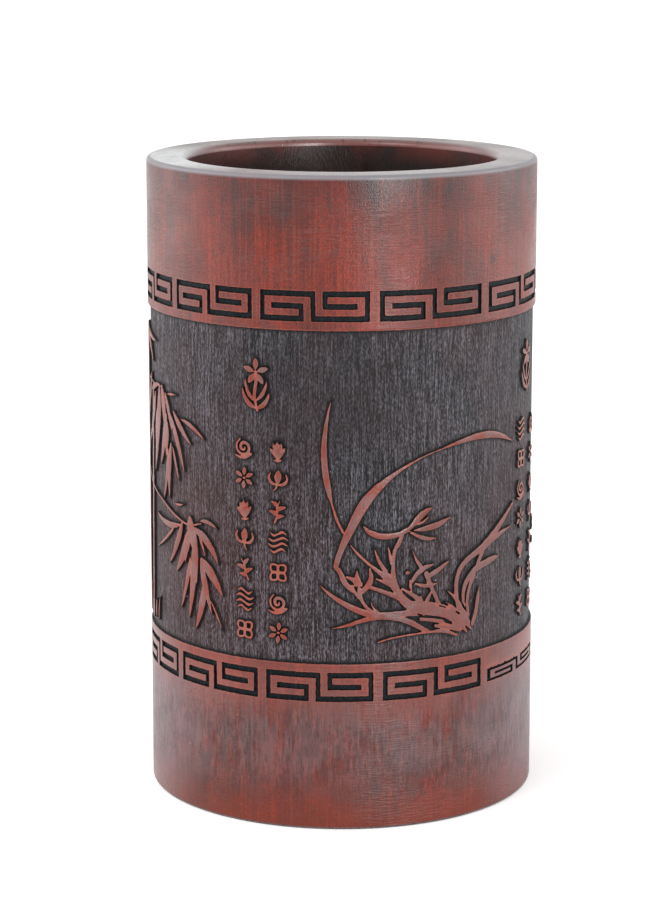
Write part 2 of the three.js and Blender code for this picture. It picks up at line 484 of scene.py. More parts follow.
def bamboo():
    """Two jointed stems with fans of hanging leaves, mostly on their right."""
    leaves = [
        (24.1, 93.4, 31.4, 86.7, 1.5, -0.03), (27.6, 92.1, 36, 88.4, 1.0, 0.07),
        (22.4, 92.6, 28.6, 80, 1.7, 0.03), (23.6, 85, 26.4, 77.4, 1.0, 0),
        (22.8, 85.6, 21.8, 72.4, 1.9, -0.04), (21.2, 84, 18.4, 71.4, 1.5, 0.05),
        (20.4, 92, 17, 79.8, 2.3, 0.03), (17.8, 98.4, 19.8, 88, 2.4, 0.02),
        (19.8, 97, 23.2, 88.6, 1.4, 0.03), (16.4, 98, 12.4, 77, 3.0, 0.02),
        (21.2, 97, 25.6, 97.4, 0.6, 0.02), (9.6, 96.4, 16.2, 98.6, 1.4, 0.03),
        (13, 96, 7.6, 84, 2.2, 0.03), (9, 100, 3.4, 88, 2.0, 0.04),
        (20.8, 90.2, 20.2, 82.4, 2.2, 0), (14.6, 92.6, 13, 84.4, 2.0, 0),
        (31.8, 67.4, 40, 60, 2.0, 0.12), (34.4, 69.4, 39.8, 68.2, 1.0, 0.12),
        (34.6, 60.6, 41.2, 52.9, 2.4, 0.04), (34.4, 60.4, 37.9, 48, 1.8, -0.02),
        (35.6, 55, 32.5, 43.7, 2.0, 0.04), (37.6, 51, 41.2, 44.3, 0.5, 0.03),
        (33, 64, 32.8, 53.8, 1.1, 0), (32.6, 66.4, 30.1, 45.8, 2.4, 0.02),
        (30.6, 60, 26.8, 47.4, 1.3, 0.03), (30.6, 67, 24.8, 55.8, 2.6, 0.05),
        (27.6, 68, 21.4, 57, 1.7, 0.05), (24.6, 66.8, 13.4, 59.4, 0.8, 0.05),
        (26.8, 67.2, 13.8, 67.8, 1.5, 0.09), (24.4, 71.9, 28.6, 72.5, 0.6, -0.08),
        (33.6, 67, 36, 61.2, 0.8, 0), (30.6, 69.6, 31.4, 62.6, 2.6, 0),
        (29.4, 65.6, 28.6, 58.8, 2.0, 0), (32.4, 61.4, 31.8, 57, 1.6, 0),
        (2, 72, -4.6, 62, 2.0, 0.04), (1.4, 74, -8, 68.6, 1.6, 0.05),
        (2.6, 71, 0.2, 58.4, 1.8, 0), (4.4, 109.4, 11.4, 103, 1.8, 0.05),
        (3.4, 110, -3, 101.4, 2.0, 0.03), (5, 110.2, 14, 108.4, 1.3, -0.06),
    ]
    twigs = [
        [(3.2, 99, 0.5), (8, 98.6, 0.45), (13, 98, 0.4), (17.6, 98.2, 0.3)],
        [(3.6, 77.4, 0.6), (10, 73.6, 0.5), (17.6, 71.4, 0.45), (24.6, 69, 0.5),
         (30, 67.8, 0.5), (34.6, 68.8, 0.35)],
        [(8.4, 86.4, 0.5), (4, 80, 0.4), (1.6, 73, 0.4)],
        [(3, 104, 0.6), (3.6, 108, 0.5), (4.6, 111, 0.3)],
    ]
    stems = []
    for x, lean, foot, top, width in ((3, 0.3, 42.4, 111, 2.4), (8.4, 0.9, 41.4, 97, 1.5)):
        joints = np.linspace(foot, top, 6)
        for low, high in zip(joints, joints[1:]):
            at_low, at_high = x + lean * (low - foot) / 20, x + lean * (high - foot) / 20
            stems.append([(at_low, low + 0.45, width * 1.1), (at_low, low + 1.6, width * 0.85),
                          (at_high, high - 1.6, width * 0.85), (at_high, high - 0.5, width)])
    grass = [blade(3 + 2.2 * i, 41.6, 1 + 2.8 * i, 45.5 + (i % 3), 0.7, 0.08) for i in range(6)]
    return [blade(*leaf) for leaf in leaves] + twigs + stems + grass


def round_blossom(x, y, size, turn):
    """A blossom of five round petals seen from the front, with a stamen between each two."""
    petals, stamens = [], []
    for angle in range(0, 360, 72):
        petals += placed([[(0, 0.9, 0.5), (0, 1.35, 1.5), (0, 1.6, 1.6)]], turn=angle)
        stamens += placed([[(0, 0, 0.24), (0, 0.75, 0.18)]], turn=angle + 36)
    heart = [[(-0.12, 0, 0.5), (0.12, 0, 0.5)]]
    return placed(petals + stamens + heart, x, y, turn, size)


def plum():
    """An old angular branch that rises to the left, with young shoots and open blossoms."""
    branch = [
        [(36, 41.5, 3.4), (31, 47, 3.0), (27.4, 51, 3.6), (22, 54.6, 2.4), (18.6, 60, 2.8),
         (12.6, 64.4, 2.1), (9.8, 70.4, 2.2), (4.6, 74.6, 1.5), (1.4, 80, 0.9)],
        [(27, 51.2, 2.2), (30.6, 58, 1.7), (29.4, 64.4, 1.9), (33.4, 70.6, 1.3),
         (32.6, 78, 1.2), (36.2, 84.4, 0.8), (36, 91, 0.5)],
        [(18.4, 60, 1.7), (20.4, 68, 1.2), (18, 76, 1.1), (20.2, 85, 0.8), (18.6, 95, 0.4)],
        [(12.4, 64.6, 1.1), (4.2, 63, 0.7), (-3.4, 64.8, 0.3)],
        [(22, 54.6, 1.3), (13.4, 50.4, 1.0), (6.4, 50.8, 0.7), (0.4, 48.2, 0.3)],
        [(33.4, 70.6, 0.9), (40, 73.4, 0.7), (45.6, 79.4, 0.3)],
        [(30.4, 58, 0.9), (38, 59.4, 0.8), (45, 57.4, 0.6), (50, 59.6, 0.25)],
        [(9.8, 70.4, 0.9), (11.4, 80, 0.7), (8.6, 90.6, 0.3)],
        [(36.2, 84.4, 0.6), (42.4, 88, 0.5), (46.6, 94.4, 0.2)],
        [(20, 84.4, 0.6), (26, 91, 0.5), (27.4, 99, 0.25)],
        [(19.2, 72, 0.6), (25.4, 76.4, 0.5), (26.4, 83, 0.2)],
    ]
    blossoms = [
        (2.6, 83.4, 1.25, 10), (10.2, 93.6, 1.15, 40), (19.4, 98.6, 1.2, 0),
        (28.6, 102, 1.1, 25), (36.4, 94.6, 1.25, 50), (47.4, 97.4, 1.0, 15),
        (46.8, 82, 1.15, 33), (25.6, 86.4, 1.2, 5), (15.8, 79.4, 1.1, 60),
        (6.8, 77, 1.0, 20), (-4.6, 66.6, 1.1, 45), (3, 60, 1.0, 12), (38.6, 62.6, 1.2, 22),
        (50.4, 62, 1.05, 8), (23.4, 66.4, 1.15, 30), (33.8, 75.6, 1.1, 52),
        (-0.6, 50.6, 1.05, 18), (10, 53.8, 1.0, 48), (41.6, 71.4, 0.9, 4)]
    buds = [(5.8, 88.6), (22.6, 93.6), (42.6, 91.4), (30.4, 96.6), (0, 70.4), (44.4, 75.6),
            (47.4, 66.4), (16, 87.4), (5.6, 48.4), (33, 53.4), (13, 59.2), (-7.4, 62)]
    flowers = []
    for x, y, size, turn in blossoms:
        flowers += round_blossom(x, y, size, turn)
    for x, y in buds:
        flowers += [[(x, y, 1.3), (x + 0.2, y + 0.25, 1.5)], [(x - 0.5, y - 1, 0.3), (x, y, 0.9)]]
    knots = [[(26, 53.6, 0.5), (26.8, 54.6, 1.3)], [(16.6, 63.4, 0.5), (17.4, 64.4, 1.2)]]
    moss = [[(25.6 + 2.3 * i, 49 - 1.7 * i, 0.9), (26 + 2.3 * i, 48.8 - 1.7 * i, 0.9)]
            for i in range(4)]
    return branch + flowers + knots + moss


def full_bloom(x, y, size, turn, tilt):
    """A many-petalled bloom: rings of curved petals round a close heart."""
    petals = []
    for ring, (count, inner, outer, width) in enumerate(
            ((14, 3.0, 6.2, 1.2), (11, 1.6, 3.9, 1.0), (7, 0.5, 2.2, 0.8))):
        for number in range(count):
            angle = 360 / count * number + 13 * ring
            petal = [[(0, inner, width * 0.5), (0.25, (inner + outer) / 2, width),
                      (0.1, outer - 0.5, width * 0.85), (-0.3, outer, width * 0.3)]]
            petals += placed(petal, turn=angle)
    bloom = placed(petals, turn=turn)
    return [[(x + size * px, y + size * py * tilt, w * size) for px, py, w in s] for s in bloom]


def lobed_leaf(x, y, turn, size):
    """A leaf with a long middle lobe and two pairs at its sides."""
    lobes = [[(0, 0, 0.5), (0.1, 2.4, 1.5), (0, 5.6, 1.7), (0, 7.2, 0.4)],
             [(0, 1.8, 1.0), (1.7, 3, 1.5), (2.7, 4.1, 0.5)],
             [(0, 1.8, 1.0), (-1.7, 3, 1.5), (-2.7, 4.1, 0.5)],
             [(0, 3.9, 1.0), (1.4, 5, 1.2), (2.1, 6, 0.4)],
             [(0, 3.9, 1.0), (-1.4, 5, 1.2), (-2.1, 6, 0.4)]]
    return placed(lobes, x, y, turn, size)


def chrysanthemum():
    """Leafy upright stems with three full blooms and a bud, over grass and a low bank."""
    stems = [
        [(24, 43, 1.3), (23, 52, 1.1), (19.6, 61, 1.0), (19, 71, 0.9), (15.4, 79.4, 0.8)],
        [(25.6, 43, 1.2), (27.4, 54, 1.0), (31.6, 62, 0.9), (33.2, 70.4, 0.8)],
        [(23, 53, 0.9), (14, 57, 0.8), (7.6, 62.4, 0.7)],
        [(31.4, 61.6, 0.7), (38.6, 64, 0.6), (43.6, 69.4, 0.5)],
        [(19.2, 70, 0.6), (24.6, 78, 0.5), (27.4, 88, 0.45), (26.4, 93.4, 0.4)],
    ]
    blooms = (full_bloom(14, 87.2, 1.15, 0, 0.86) + full_bloom(34.4, 78, 1.1, 9, 0.9)
              + full_bloom(4.6, 67.4, 0.92, 4, 0.84) + full_bloom(45.4, 73.6, 0.6, 15, 0.95)
              + full_bloom(26.2, 97.6, 0.62, 21, 0.9))
    leaves = []
    for x, y, turn, size in (
            (23, 51, 70, 1.0), (23.4, 49, -80, 1.05), (21, 58, 55, 0.9), (20.6, 59.6, -60, 0.95),
            (19, 67, 78, 0.95), (19.4, 68, -75, 0.8), (28, 54, -78, 1.0), (29.6, 58, 40, 0.75),
            (32.4, 65, -65, 0.95), (26.4, 46, -60, 0.9), (14, 57, 150, 0.8), (14.4, 58, 30, 0.7),
            (37.6, 63.6, -150, 0.8), (24, 76.6, -70, 0.7), (16.4, 77, 95, 0.65)):
        leaves += lobed_leaf(x, y, turn, size)
    grass = [blade(5 + 1.9 * i, 42, 2 + 2.3 * i, 47.4 + 2 * math.sin(2.3 * i), 0.75, 0.1)
             for i in range(7)]
    bank = [[(4, 41.8, 0.5), (14, 42.4, 0.9), (26, 42, 1.3), (38, 42.5, 0.9), (47, 41.8, 0.4)],
            [(39, 44, 0.3), (41.6, 46.6, 1.6), (45, 45.6, 1.2), (47.6, 43.4, 0.8)]]
    return stems + blooms + leaves + grass + bank


# ---- Small ornaments that stand beside each plant -------------------------------------------

def curl(turns, start_radius, end_radius, width, turn):
    """A spiral scroll, swollen in its middle."""
    steps = 14
    points = []
    for step in range(steps + 1):
        share = step / steps
        radius = start_radius + (end_radius - start_radius) * share
        angle = math.radians(turn + 360 * turns * share)
        swell = width * (0.55 + 0.45 * math.sin(math.pi * share))
        points.append((radius * math.cos(angle), radius * math.sin(angle), swell))
    return points


def scroll_mark():
    """A cloud scroll: one close spiral with a trailing end."""
    tail = [(-1.9, -1.4, 0.6), (-0.4, -2.3, 0.7), (1.2, -2.3, 0.6), (2.5, -1.7, 0.2)]
    return [curl(1.7, 0.25, 2.1, 0.75, 170), tail]


def sprig_mark():
    """A bent twig with leaves set turn about."""
    twig = [(-0.9, -2.5, 0.5), (-0.2, -0.8, 0.5), (-0.1, 0.9, 0.45), (0.7, 2.4, 0.25)]
    leaves = [blade(-0.5, -1.6, 1.5, -1.1, 1.0, 0.12), blade(-0.3, -0.9, -2.2, 0.2, 1.05, -0.12),
              blade(-0.1, 0.1, 2.1, 0.9, 1.05, 0.12), blade(0, 1.1, -1.5, 2.4, 0.95, -0.12)]
    return [twig] + leaves


def blossom_mark():
    """Six narrow petals round a heart."""
    petals = []
    for angle in range(0, 360, 60):
        petals += placed([[(0, 0.75, 0.35), (0, 1.5, 1.05), (0, 2.25, 0.5)]], turn=angle)
    return petals + [[(-0.1, 0, 0.55), (0.1, 0, 0.55)]]


def water_mark():
    """Four ripples, one under another."""
    ripples = []
    for y, size in ((1.9, 0.8), (0.6, 1), (-0.7, 0.95), (-2.0, 0.75)):
        ripples.append([(-2.4 * size, y, 0.25), (-1.2 * size, y + 0.5, 0.6), (0, y, 0.55),
                        (1.2 * size, y - 0.45, 0.6), (2.4 * size, y + 0.1, 0.25)])
    return ripples


def shell_mark():
    """A scallop: ribs that spread from its hinge to a scalloped edge."""
    ribs = [blade(0, -2.3, 2.5 * math.sin(a), -2.4 + 4.7 * math.cos(a), 0.8, 0, 0.75)
            for a in np.radians((-50, -25, 0, 25, 50))]
    ears = [(-0.9, -2.3, 0.3), (0, -2.5, 0.6), (0.9, -2.3, 0.3)]
    return ribs + [ears]


def knot_mark():
    """A flat knot of four loops."""
    loops = []
    for angle in range(45, 360, 90):
        loops += placed([[(0, 0.25, 0.4), (-0.95, 1.3, 0.5), (0, 2.4, 0.55), (0.95, 1.3, 0.5),
                          (0, 0.25, 0.4)]], turn=angle)
    return loops


def bud_mark():
    """A round bud between two sepals that curl away from it."""
    stalk = [(0.8, -2.5, 0.3), (0.2, -1.6, 0.5), (0, -0.6, 0.6)]
    bud = [(0, -0.2, 1.0), (0, 0.8, 1.7), (0, 1.6, 1.2), (0, 2.4, 0.2)]
    left = [(-0.2, -0.9, 0.5), (-1.5, -0.6, 0.75), (-2.2, 0.6, 0.6), (-1.8, 1.7, 0.2)]
    right = [(0.2, -0.9, 0.5), (1.5, -0.6, 0.75), (2.2, 0.6, 0.6), (1.8, 1.7, 0.2)]
    return [stalk, bud, left, right]


def sprig_crest():
    """The taller ornament that heads each pair of columns: one blossom over arching leaves."""
    stem = [(0.4, -5.6, 0.6), (-0.3, -2.4, 0.8), (0.1, 0.6, 0.8), (0, 2.2, 0.6)]
    leaves = [blade(0.2, -5.2, -3.4, -0.6, 1.1, 0.16), blade(0.2, -5.2, 3.3, -1.2, 1.1, -0.16),
              blade(-0.1, -3.6, -2.6, 1.8, 0.9, 0.14), blade(0, -3.4, 2.7, 1.5, 0.9, -0.14)]
    heart = 3.1
    petals = []
    for angle in range(0, 360, 72):
        petals += placed([[(0, 0.7, 0.5), (0, 1.7, 1.35), (0, 2.6, 0.9), (0, 3, 0.4)]],
                         0, heart, angle)
    return [stem] + leaves + petals + [[(-0.1, heart, 0.6), (0.1, heart, 0.6)]]


# Two columns of small ornaments and the crest above them, measured from a panel's middle.
MARKS = (scroll_mark, sprig_mark, blossom_mark, water_mark, shell_mark, knot_mark, bud_mark)
MARK_ROWS = 7
MARK_TOP = 88.3
MARK_PITCH = 7.05
MARK_COLUMNS = (-23.0, -14.6)
MARK_LEAN = 5
CREST_PLACE = (-19.9, 102.6)


def panel_ornaments(panel):
    """The crest and the columns of one panel; each panel has the ornaments in its own order."""
    strokes = placed(sprig_crest(), *CREST_PLACE)
    for column, x in enumerate(MARK_COLUMNS):
        for row in range(MARK_ROWS):
            mark = MARKS[(row * 2 + column * 4 + panel * 3) % len(MARKS)]
            flip = 1 if (row + column) % 2 else -1
            y = MARK_TOP - row * MARK_PITCH
            lean = MARK_LEAN * math.sin(3.7 * row + column)
            strokes += placed(mark(), x, y, lean, 1, flip)
    return strokes


# Each plant, the angle of its panel, and its size; all grow from one ground height.
PANELS = ((orchid, 0, 1), (plum, 95, 0.8), (chrysanthemum, 183, 0.87), (bamboo, -88, 1))
ROOT_HEIGHT = 43


# ---- Carved sheets, still flat ---------------------------------------------------------------

def field_sheet():
    """The whole field with everything that stands in it, as one strip round the culm."""
    half = GIRTH / 2
    layout = Layout(-half, half, FIELD_BOTTOM - FIELD_LIP, FIELD_TOP + FIELD_LIP,
                    step=0.1, girth=GIRTH)
    for panel, (plant, angle, size) in enumerate(PANELS):
        start = math.radians(angle) * SKIN_RADIUS
        drawn = placed(plant(), start, ROOT_HEIGHT * (1 - size), size=size)
        for stroke in drawn + placed(panel_ornaments(panel), start):
            layout.stroke(stroke)
    layout.distance += STROKE_TRIM
    for nick in ORCHID_NICKS:
        layout.stroke(nick, cut=True)
    y = layout.y[:, None]
    edges = np.minimum(y - FIELD_BOTTOM, FIELD_TOP - y).astype(np.float32)
    np.minimum(layout.distance, edges, out=layout.distance)
    layout.shake()
    levels = ((-EDGE_REACH, 0.05), (0, 0.025), (CARVING_SLOPE, 0.03), (SCORCH_REACH, 0.12))
    return flat_sheet("carved_field", layout, levels, column_step=1.25, row_step=3.2, measures=(
        lambda distance: (EDGE_ROUNDING * ramp(distance, -EDGE_REACH, 0)
                          + (CARVING_DEPTH - EDGE_ROUNDING) * ramp(distance, 0, CARVING_SLOPE)),
        # Scorch, darkened further as painted shade at the foot of each edge.
        lambda distance: np.where(distance < CARVING_SLOPE / 2, 1,
                                  1 - ramp(distance, CARVING_SLOPE, SCORCH_REACH)),
        # The edge mark is a painted highlight along the lip of whatever stands.
        lambda distance: np.where(distance < CARVING_SLOPE / 2,
                                  ramp(distance, -EDGE_REACH, 0), 0)))


def fret_sheet(bottom):
    """One pair of square spirals; they share a post, and the second is the first turned."""
    layout = Layout(0, PITCH, bottom - FRET_LIP, bottom + FRET_HEIGHT + FRET_LIP, step=0.05)
    width = PITCH - PAIR_GAP
    middle = (FRET_HEIGHT - FRET_LINE) / 2
    shared_left = (width - FRET_POST) / 2
    shared_right = shared_left + FRET_POST
    inner_right = shared_left - FRET_RIDGE
    spiral = (
        (0, FRET_POST, 0, FRET_HEIGHT),
        (0, shared_right, FRET_HEIGHT - FRET_LINE, FRET_HEIGHT),
        (0, inner_right, 0, FRET_LINE),
        (inner_right - FRET_POST, inner_right, 0, middle + FRET_LINE),
        (FRET_POST + FRET_RIDGE, inner_right, middle, middle + FRET_LINE))
    grooves = [(shared_left, shared_right, 0, FRET_HEIGHT), *spiral]
    for left, right, low, high in spiral:
        grooves.append((width - right, width - left, FRET_HEIGHT - high, FRET_HEIGHT - low))
    start = PAIR_GAP / 2
    for left, right, low, high in grooves:
        layout.rectangle(start + left, start + right, bottom + low, bottom + high)
    layout.shake()
    levels = ((EDGE_REACH, 0.05), (0, 0.02), (-FRET_SLOPE, 0.02))
    return flat_sheet("fret_pair", layout, levels, column_step=PITCH / 20, row_step=20, measures=(
        lambda distance: FRET_DEPTH * ramp(-distance, 0, FRET_SLOPE),
        lambda distance: np.where(distance < 0.1, 1.0, 0.0),
        # The edge mark is a painted highlight along the skin beside each groove.
        lambda distance: np.where(distance > -FRET_SLOPE / 2,
                                  1 - ramp(distance, 0, EDGE_REACH), 0)))


# ---- Node trees --------------------------------------------------------------------------------

class Tree:
    """Short words for building a node tree."""

    def __init__(self, tree):
        self.tree = tree

    def put(self, kind, inputs=None, **settings):
        """A new node with its settings, and its inputs linked or set."""
        node = self.tree.nodes.new(kind)
        for name, value in settings.items():
            setattr(node, name, value)
        for name, value in (inputs or {}).items():
            self.feed(node.inputs[name], value)
        return node

    def feed(self, socket, value):
        if isinstance(value, bpy.types.NodeSocket):
            self.tree.links.new(value, socket)
        else:
            socket.default_value = value

    def math(self, operation, first, second=0.0, third=0.0):
        inputs = {0: first, 1: second, 2: third}
        return self.put("ShaderNodeMath", inputs, operation=operation).outputs[0]

    def stretch(self, value, from_low, from_high, to_low=0.0, to_high=1.0):
        """A value carried from one range to another and held at its ends."""
        inputs = {"Value": value, "From Min": from_low, "From Max": from_high,
                  "To Min": to_low, "To Max": to_high}
        return self.put("ShaderNodeMapRange", inputs, clamp=True).outputs["Result"]

    def scaled(self, vector, x, y, z):
        """A vector whose three parts are each multiplied."""
        scale = self.put("ShaderNodeCombineXYZ", {"X": x, "Y": y, "Z": z}).outputs[0]
        node = self.put("ShaderNodeVectorMath", {0: vector, 1: scale}, operation="MULTIPLY")
        return node.outputs[0]

    def noise(self, vector, detail=2.0, roughness=0.5, twist=0.0):
        """Noise of about one lump per unit of the vector."""
        inputs = {"Vector": vector, "Scale": 1.0, "Detail": detail, "Roughness": roughness,
                  "Distortion": twist}
        return self.put("ShaderNodeTexNoise", inputs, noise_dimensions="3D").outputs[0]

    def tint(self, first, second, share):
        """One colour laid over another by a share."""
        inputs = {0: share, 6: first, 7: second}
        return self.put("ShaderNodeMix", inputs, data_type="RGBA").outputs[2]

    def attribute(self, name):
        return self.put("ShaderNodeAttribute", attribute_name=name).outputs["Fac"]


def new_group(name, kind, inputs, outputs):
    """A node group with named sockets, and its Group Input and Output nodes."""
    group = bpy.data.node_groups.new(name, kind)
    for socket, form, default in inputs:
        made = group.interface.new_socket(name=socket, in_out="INPUT", socket_type=form)
        if default is not None:
            made.default_value = default
    for socket, form in outputs:
        group.interface.new_socket(name=socket, in_out="OUTPUT", socket_type=form)
    tree = Tree(group)
    return tree, tree.put("NodeGroupInput").outputs, tree.put("NodeGroupOutput").inputs


GEOMETRY = ("Geometry", "NodeSocketGeometry", None)
FLOAT = "NodeSocketFloat"


def repeat_pairs_tree():
    """Geometry nodes: sets copies of the pair side by side, one of them cut low."""
    tree, given, result = new_group(
        "Repeat key pairs", "GeometryNodeTree",
        [GEOMETRY, ("Pairs", "NodeSocketInt", 11), ("Pitch", FLOAT, 0.026),
         ("Squashed Pair", "NodeSocketInt", -1), ("Squash", FLOAT, 0.45), ("Rise", FLOAT, 0.0),
         ("Strip Bottom", FLOAT, 0.0), ("Groove Bottom", FLOAT, 0.0),
         ("Groove Top", FLOAT, 0.0), ("Strip Top", FLOAT, 0.0)],
        [("Geometry", "NodeSocketGeometry")])

    # The pair is copied along a line, once for each pitch.
    step = tree.put("ShaderNodeCombineXYZ", {"X": given["Pitch"]}).outputs[0]
    line = tree.put("GeometryNodeMeshLine", {"Count": given["Pairs"], "Offset": step})
    copies = tree.put("GeometryNodeInstanceOnPoints",
                      {"Points": line.outputs[0], "Instance": given["Geometry"]})
    real = tree.put("GeometryNodeRealizeInstances", {0: copies.outputs[0]})
    place = tree.put("ShaderNodeSeparateXYZ", {0: tree.put("GeometryNodeInputPosition").outputs[0]})
    x, y, z = place.outputs

    # In the chosen pair the groove is made lower, and the skin under and over it takes up the
    # rest of the strip's height.
    pair = tree.math("FLOOR", tree.math("DIVIDE", x, given["Pitch"]))
    chosen = tree.math("COMPARE", pair, given["Squashed Pair"], 0.5)
    groove = tree.math("SUBTRACT", given["Groove Top"], given["Groove Bottom"])
    low_groove = tree.math("MULTIPLY", groove, given["Squash"])
    under = tree.math("SUBTRACT", tree.math("ADD", given["Groove Bottom"], given["Rise"]),
                      given["Strip Bottom"])
    strip = tree.math("SUBTRACT", given["Strip Top"], given["Strip Bottom"])
    over = tree.math("SUBTRACT", tree.math("SUBTRACT", strip, under), low_groove)
    lifted = tree.math("ADD", given["Strip Bottom"], tree.stretch(
        y, given["Strip Bottom"], given["Groove Bottom"], 0.0, under))
    lifted = tree.math("ADD", lifted, tree.stretch(
        y, given["Groove Bottom"], given["Groove Top"], 0.0, low_groove))
    lifted = tree.math("ADD", lifted, tree.stretch(
        y, given["Groove Top"], given["Strip Top"], 0.0, over))
    moved = tree.put("ShaderNodeCombineXYZ", {"X": x, "Y": lifted, "Z": z}).outputs[0]
    cut_low = tree.put("GeometryNodeSetPosition", {
        "Geometry": real.outputs[0], "Selection": chosen, "Position": moved})
    joined = tree.put("GeometryNodeMergeByDistance",
                      {"Geometry": cut_low.outputs[0], "Distance": SHEET_WELD})
    tree.feed(result["Geometry"], joined.outputs[0])
    return tree.tree


def wrap_tree():
    """Geometry nodes: wraps a flat strip round the culm, with the small wander of hand work."""
    tree, given, result = new_group(
        "Wrap on the culm", "GeometryNodeTree",
        [GEOMETRY, ("Radius", FLOAT, 0.0458), ("First Angle", FLOAT, 0.0), ("Drift", FLOAT, 0.0),
         ("Wander", FLOAT, 0.0001), ("Wander Scale", FLOAT, 160.0),
         ("Material", "NodeSocketMaterial", None)],
        [("Geometry", "NodeSocketGeometry")])
    place = tree.put("ShaderNodeSeparateXYZ", {0: tree.put("GeometryNodeInputPosition").outputs[0]})
    x, y, z = place.outputs
    even = tree.math("DIVIDE", x, given["Radius"])
    drifted = tree.math("MULTIPLY", given["Drift"],
                        tree.math("SUBTRACT", 1.0, tree.math("COSINE", even)))
    angle = tree.math("ADD", given["First Angle"], tree.math("ADD", even, drifted))

    def on_culm(turn, height):
        """A place at an angle and a height, as far out as the strip's own relief says."""
        reach = tree.math("ADD", given["Radius"], z)
        east = tree.math("MULTIPLY", reach, tree.math("SINE", turn))
        north = tree.math("MULTIPLY", reach, tree.math("MULTIPLY", tree.math("COSINE", turn), -1.0))
        return tree.put("ShaderNodeCombineXYZ", {"X": east, "Y": north, "Z": height}).outputs[0]

    noise = tree.put("ShaderNodeTexNoise", {
        "Vector": on_culm(angle, y), "Scale": given["Wander Scale"], "Detail": 1.0},
        noise_dimensions="3D")
    shift = tree.put("ShaderNodeSeparateXYZ", {0: noise.outputs["Color"]}).outputs
    along = tree.math("MULTIPLY", tree.math("SUBTRACT", shift[0], 0.5), given["Wander"])
    upward = tree.math("MULTIPLY", tree.math("SUBTRACT", shift[1], 0.5), given["Wander"])
    turned = tree.math("ADD", angle, tree.math("DIVIDE", along, given["Radius"]))
    wrapped = tree.put("GeometryNodeSetPosition", {
        "Geometry": given["Geometry"], "Position": on_culm(turned, tree.math("ADD", y, upward))})
    closed = tree.put("GeometryNodeMergeByDistance",
                      {"Geometry": wrapped.outputs[0], "Distance": SHEET_WELD})
    real = tree.put("GeometryNodeRealizeInstances", {0: closed.outputs[0]})
    coated = tree.put("GeometryNodeSetMaterial",
                      {"Geometry": real.outputs[0], "Material": given["Material"]})
    tree.feed(result["Geometry"], coated.outputs[0])
    return tree.tree


def season_tree():
    """Geometry nodes: lets the turned wall lose a little of its roundness, but not its foot."""
    tree, given, result = new_group(
        "Season the culm", "GeometryNodeTree",
        [GEOMETRY, ("Shrink", FLOAT, 0.0001), ("Scale", FLOAT, 14.0), ("Lengthwise", FLOAT, 0.5),
         ("Still Below", FLOAT, 0.01), ("Free Above", FLOAT, 0.024)],
        [("Geometry", "NodeSocketGeometry")])
    position = tree.put("GeometryNodeInputPosition").outputs[0]
    x, y, z = tree.put("ShaderNodeSeparateXYZ", {0: position}).outputs
    spread = tree.put("ShaderNodeCombineXYZ", {
        "X": x, "Y": y, "Z": tree.math("MULTIPLY", z, given["Lengthwise"])}).outputs[0]
    noise = tree.put("ShaderNodeTexNoise", {
        "Vector": spread, "Scale": given["Scale"], "Detail": 1.0}, noise_dimensions="3D")
    free = tree.stretch(z, given["Still Below"], given["Free Above"])
    inward = tree.math("MULTIPLY", tree.math("MULTIPLY", noise.outputs[0], free), given["Shrink"])
    flat = tree.put("ShaderNodeCombineXYZ", {"X": x, "Y": y}).outputs[0]
    outward = tree.put("ShaderNodeVectorMath", {0: flat}, operation="NORMALIZE").outputs[0]
    shift = tree.put("ShaderNodeVectorMath", {
        0: outward, "Scale": tree.math("MULTIPLY", inward, -1.0)}, operation="SCALE").outputs[0]
    seasoned = tree.put("GeometryNodeSetPosition",
                        {"Geometry": given["Geometry"], "Offset": shift})
    real = tree.put("GeometryNodeRealizeInstances", {0: seasoned.outputs[0]})
    tree.feed(result["Geometry"], real.outputs[0])
    return tree.tree


def grown(name, mesh, steps):
    """Runs node trees over a mesh and gives back the plain mesh that they make."""
    helper = bpy.data.objects.new(name, mesh)
    bpy.context.scene.collection.objects.link(helper)
    for group, values in steps:
        modifier = helper.modifiers.new(group.name, "NODES")
        modifier.node_group = group
        for socket in group.interface.items_tree:
            if socket.in_out == "INPUT" and socket.name in values:
                modifier[socket.identifier] = values[socket.name]
    bpy.context.view_layer.update()
    evaluated = helper.evaluated_get(bpy.context.evaluated_depsgraph_get())
    result = bpy.data.meshes.new_from_object(evaluated)
    bpy.data.objects.remove(helper)
    return result


# ---- The wall: carved bands joined by turned rings ----------------------------------------------

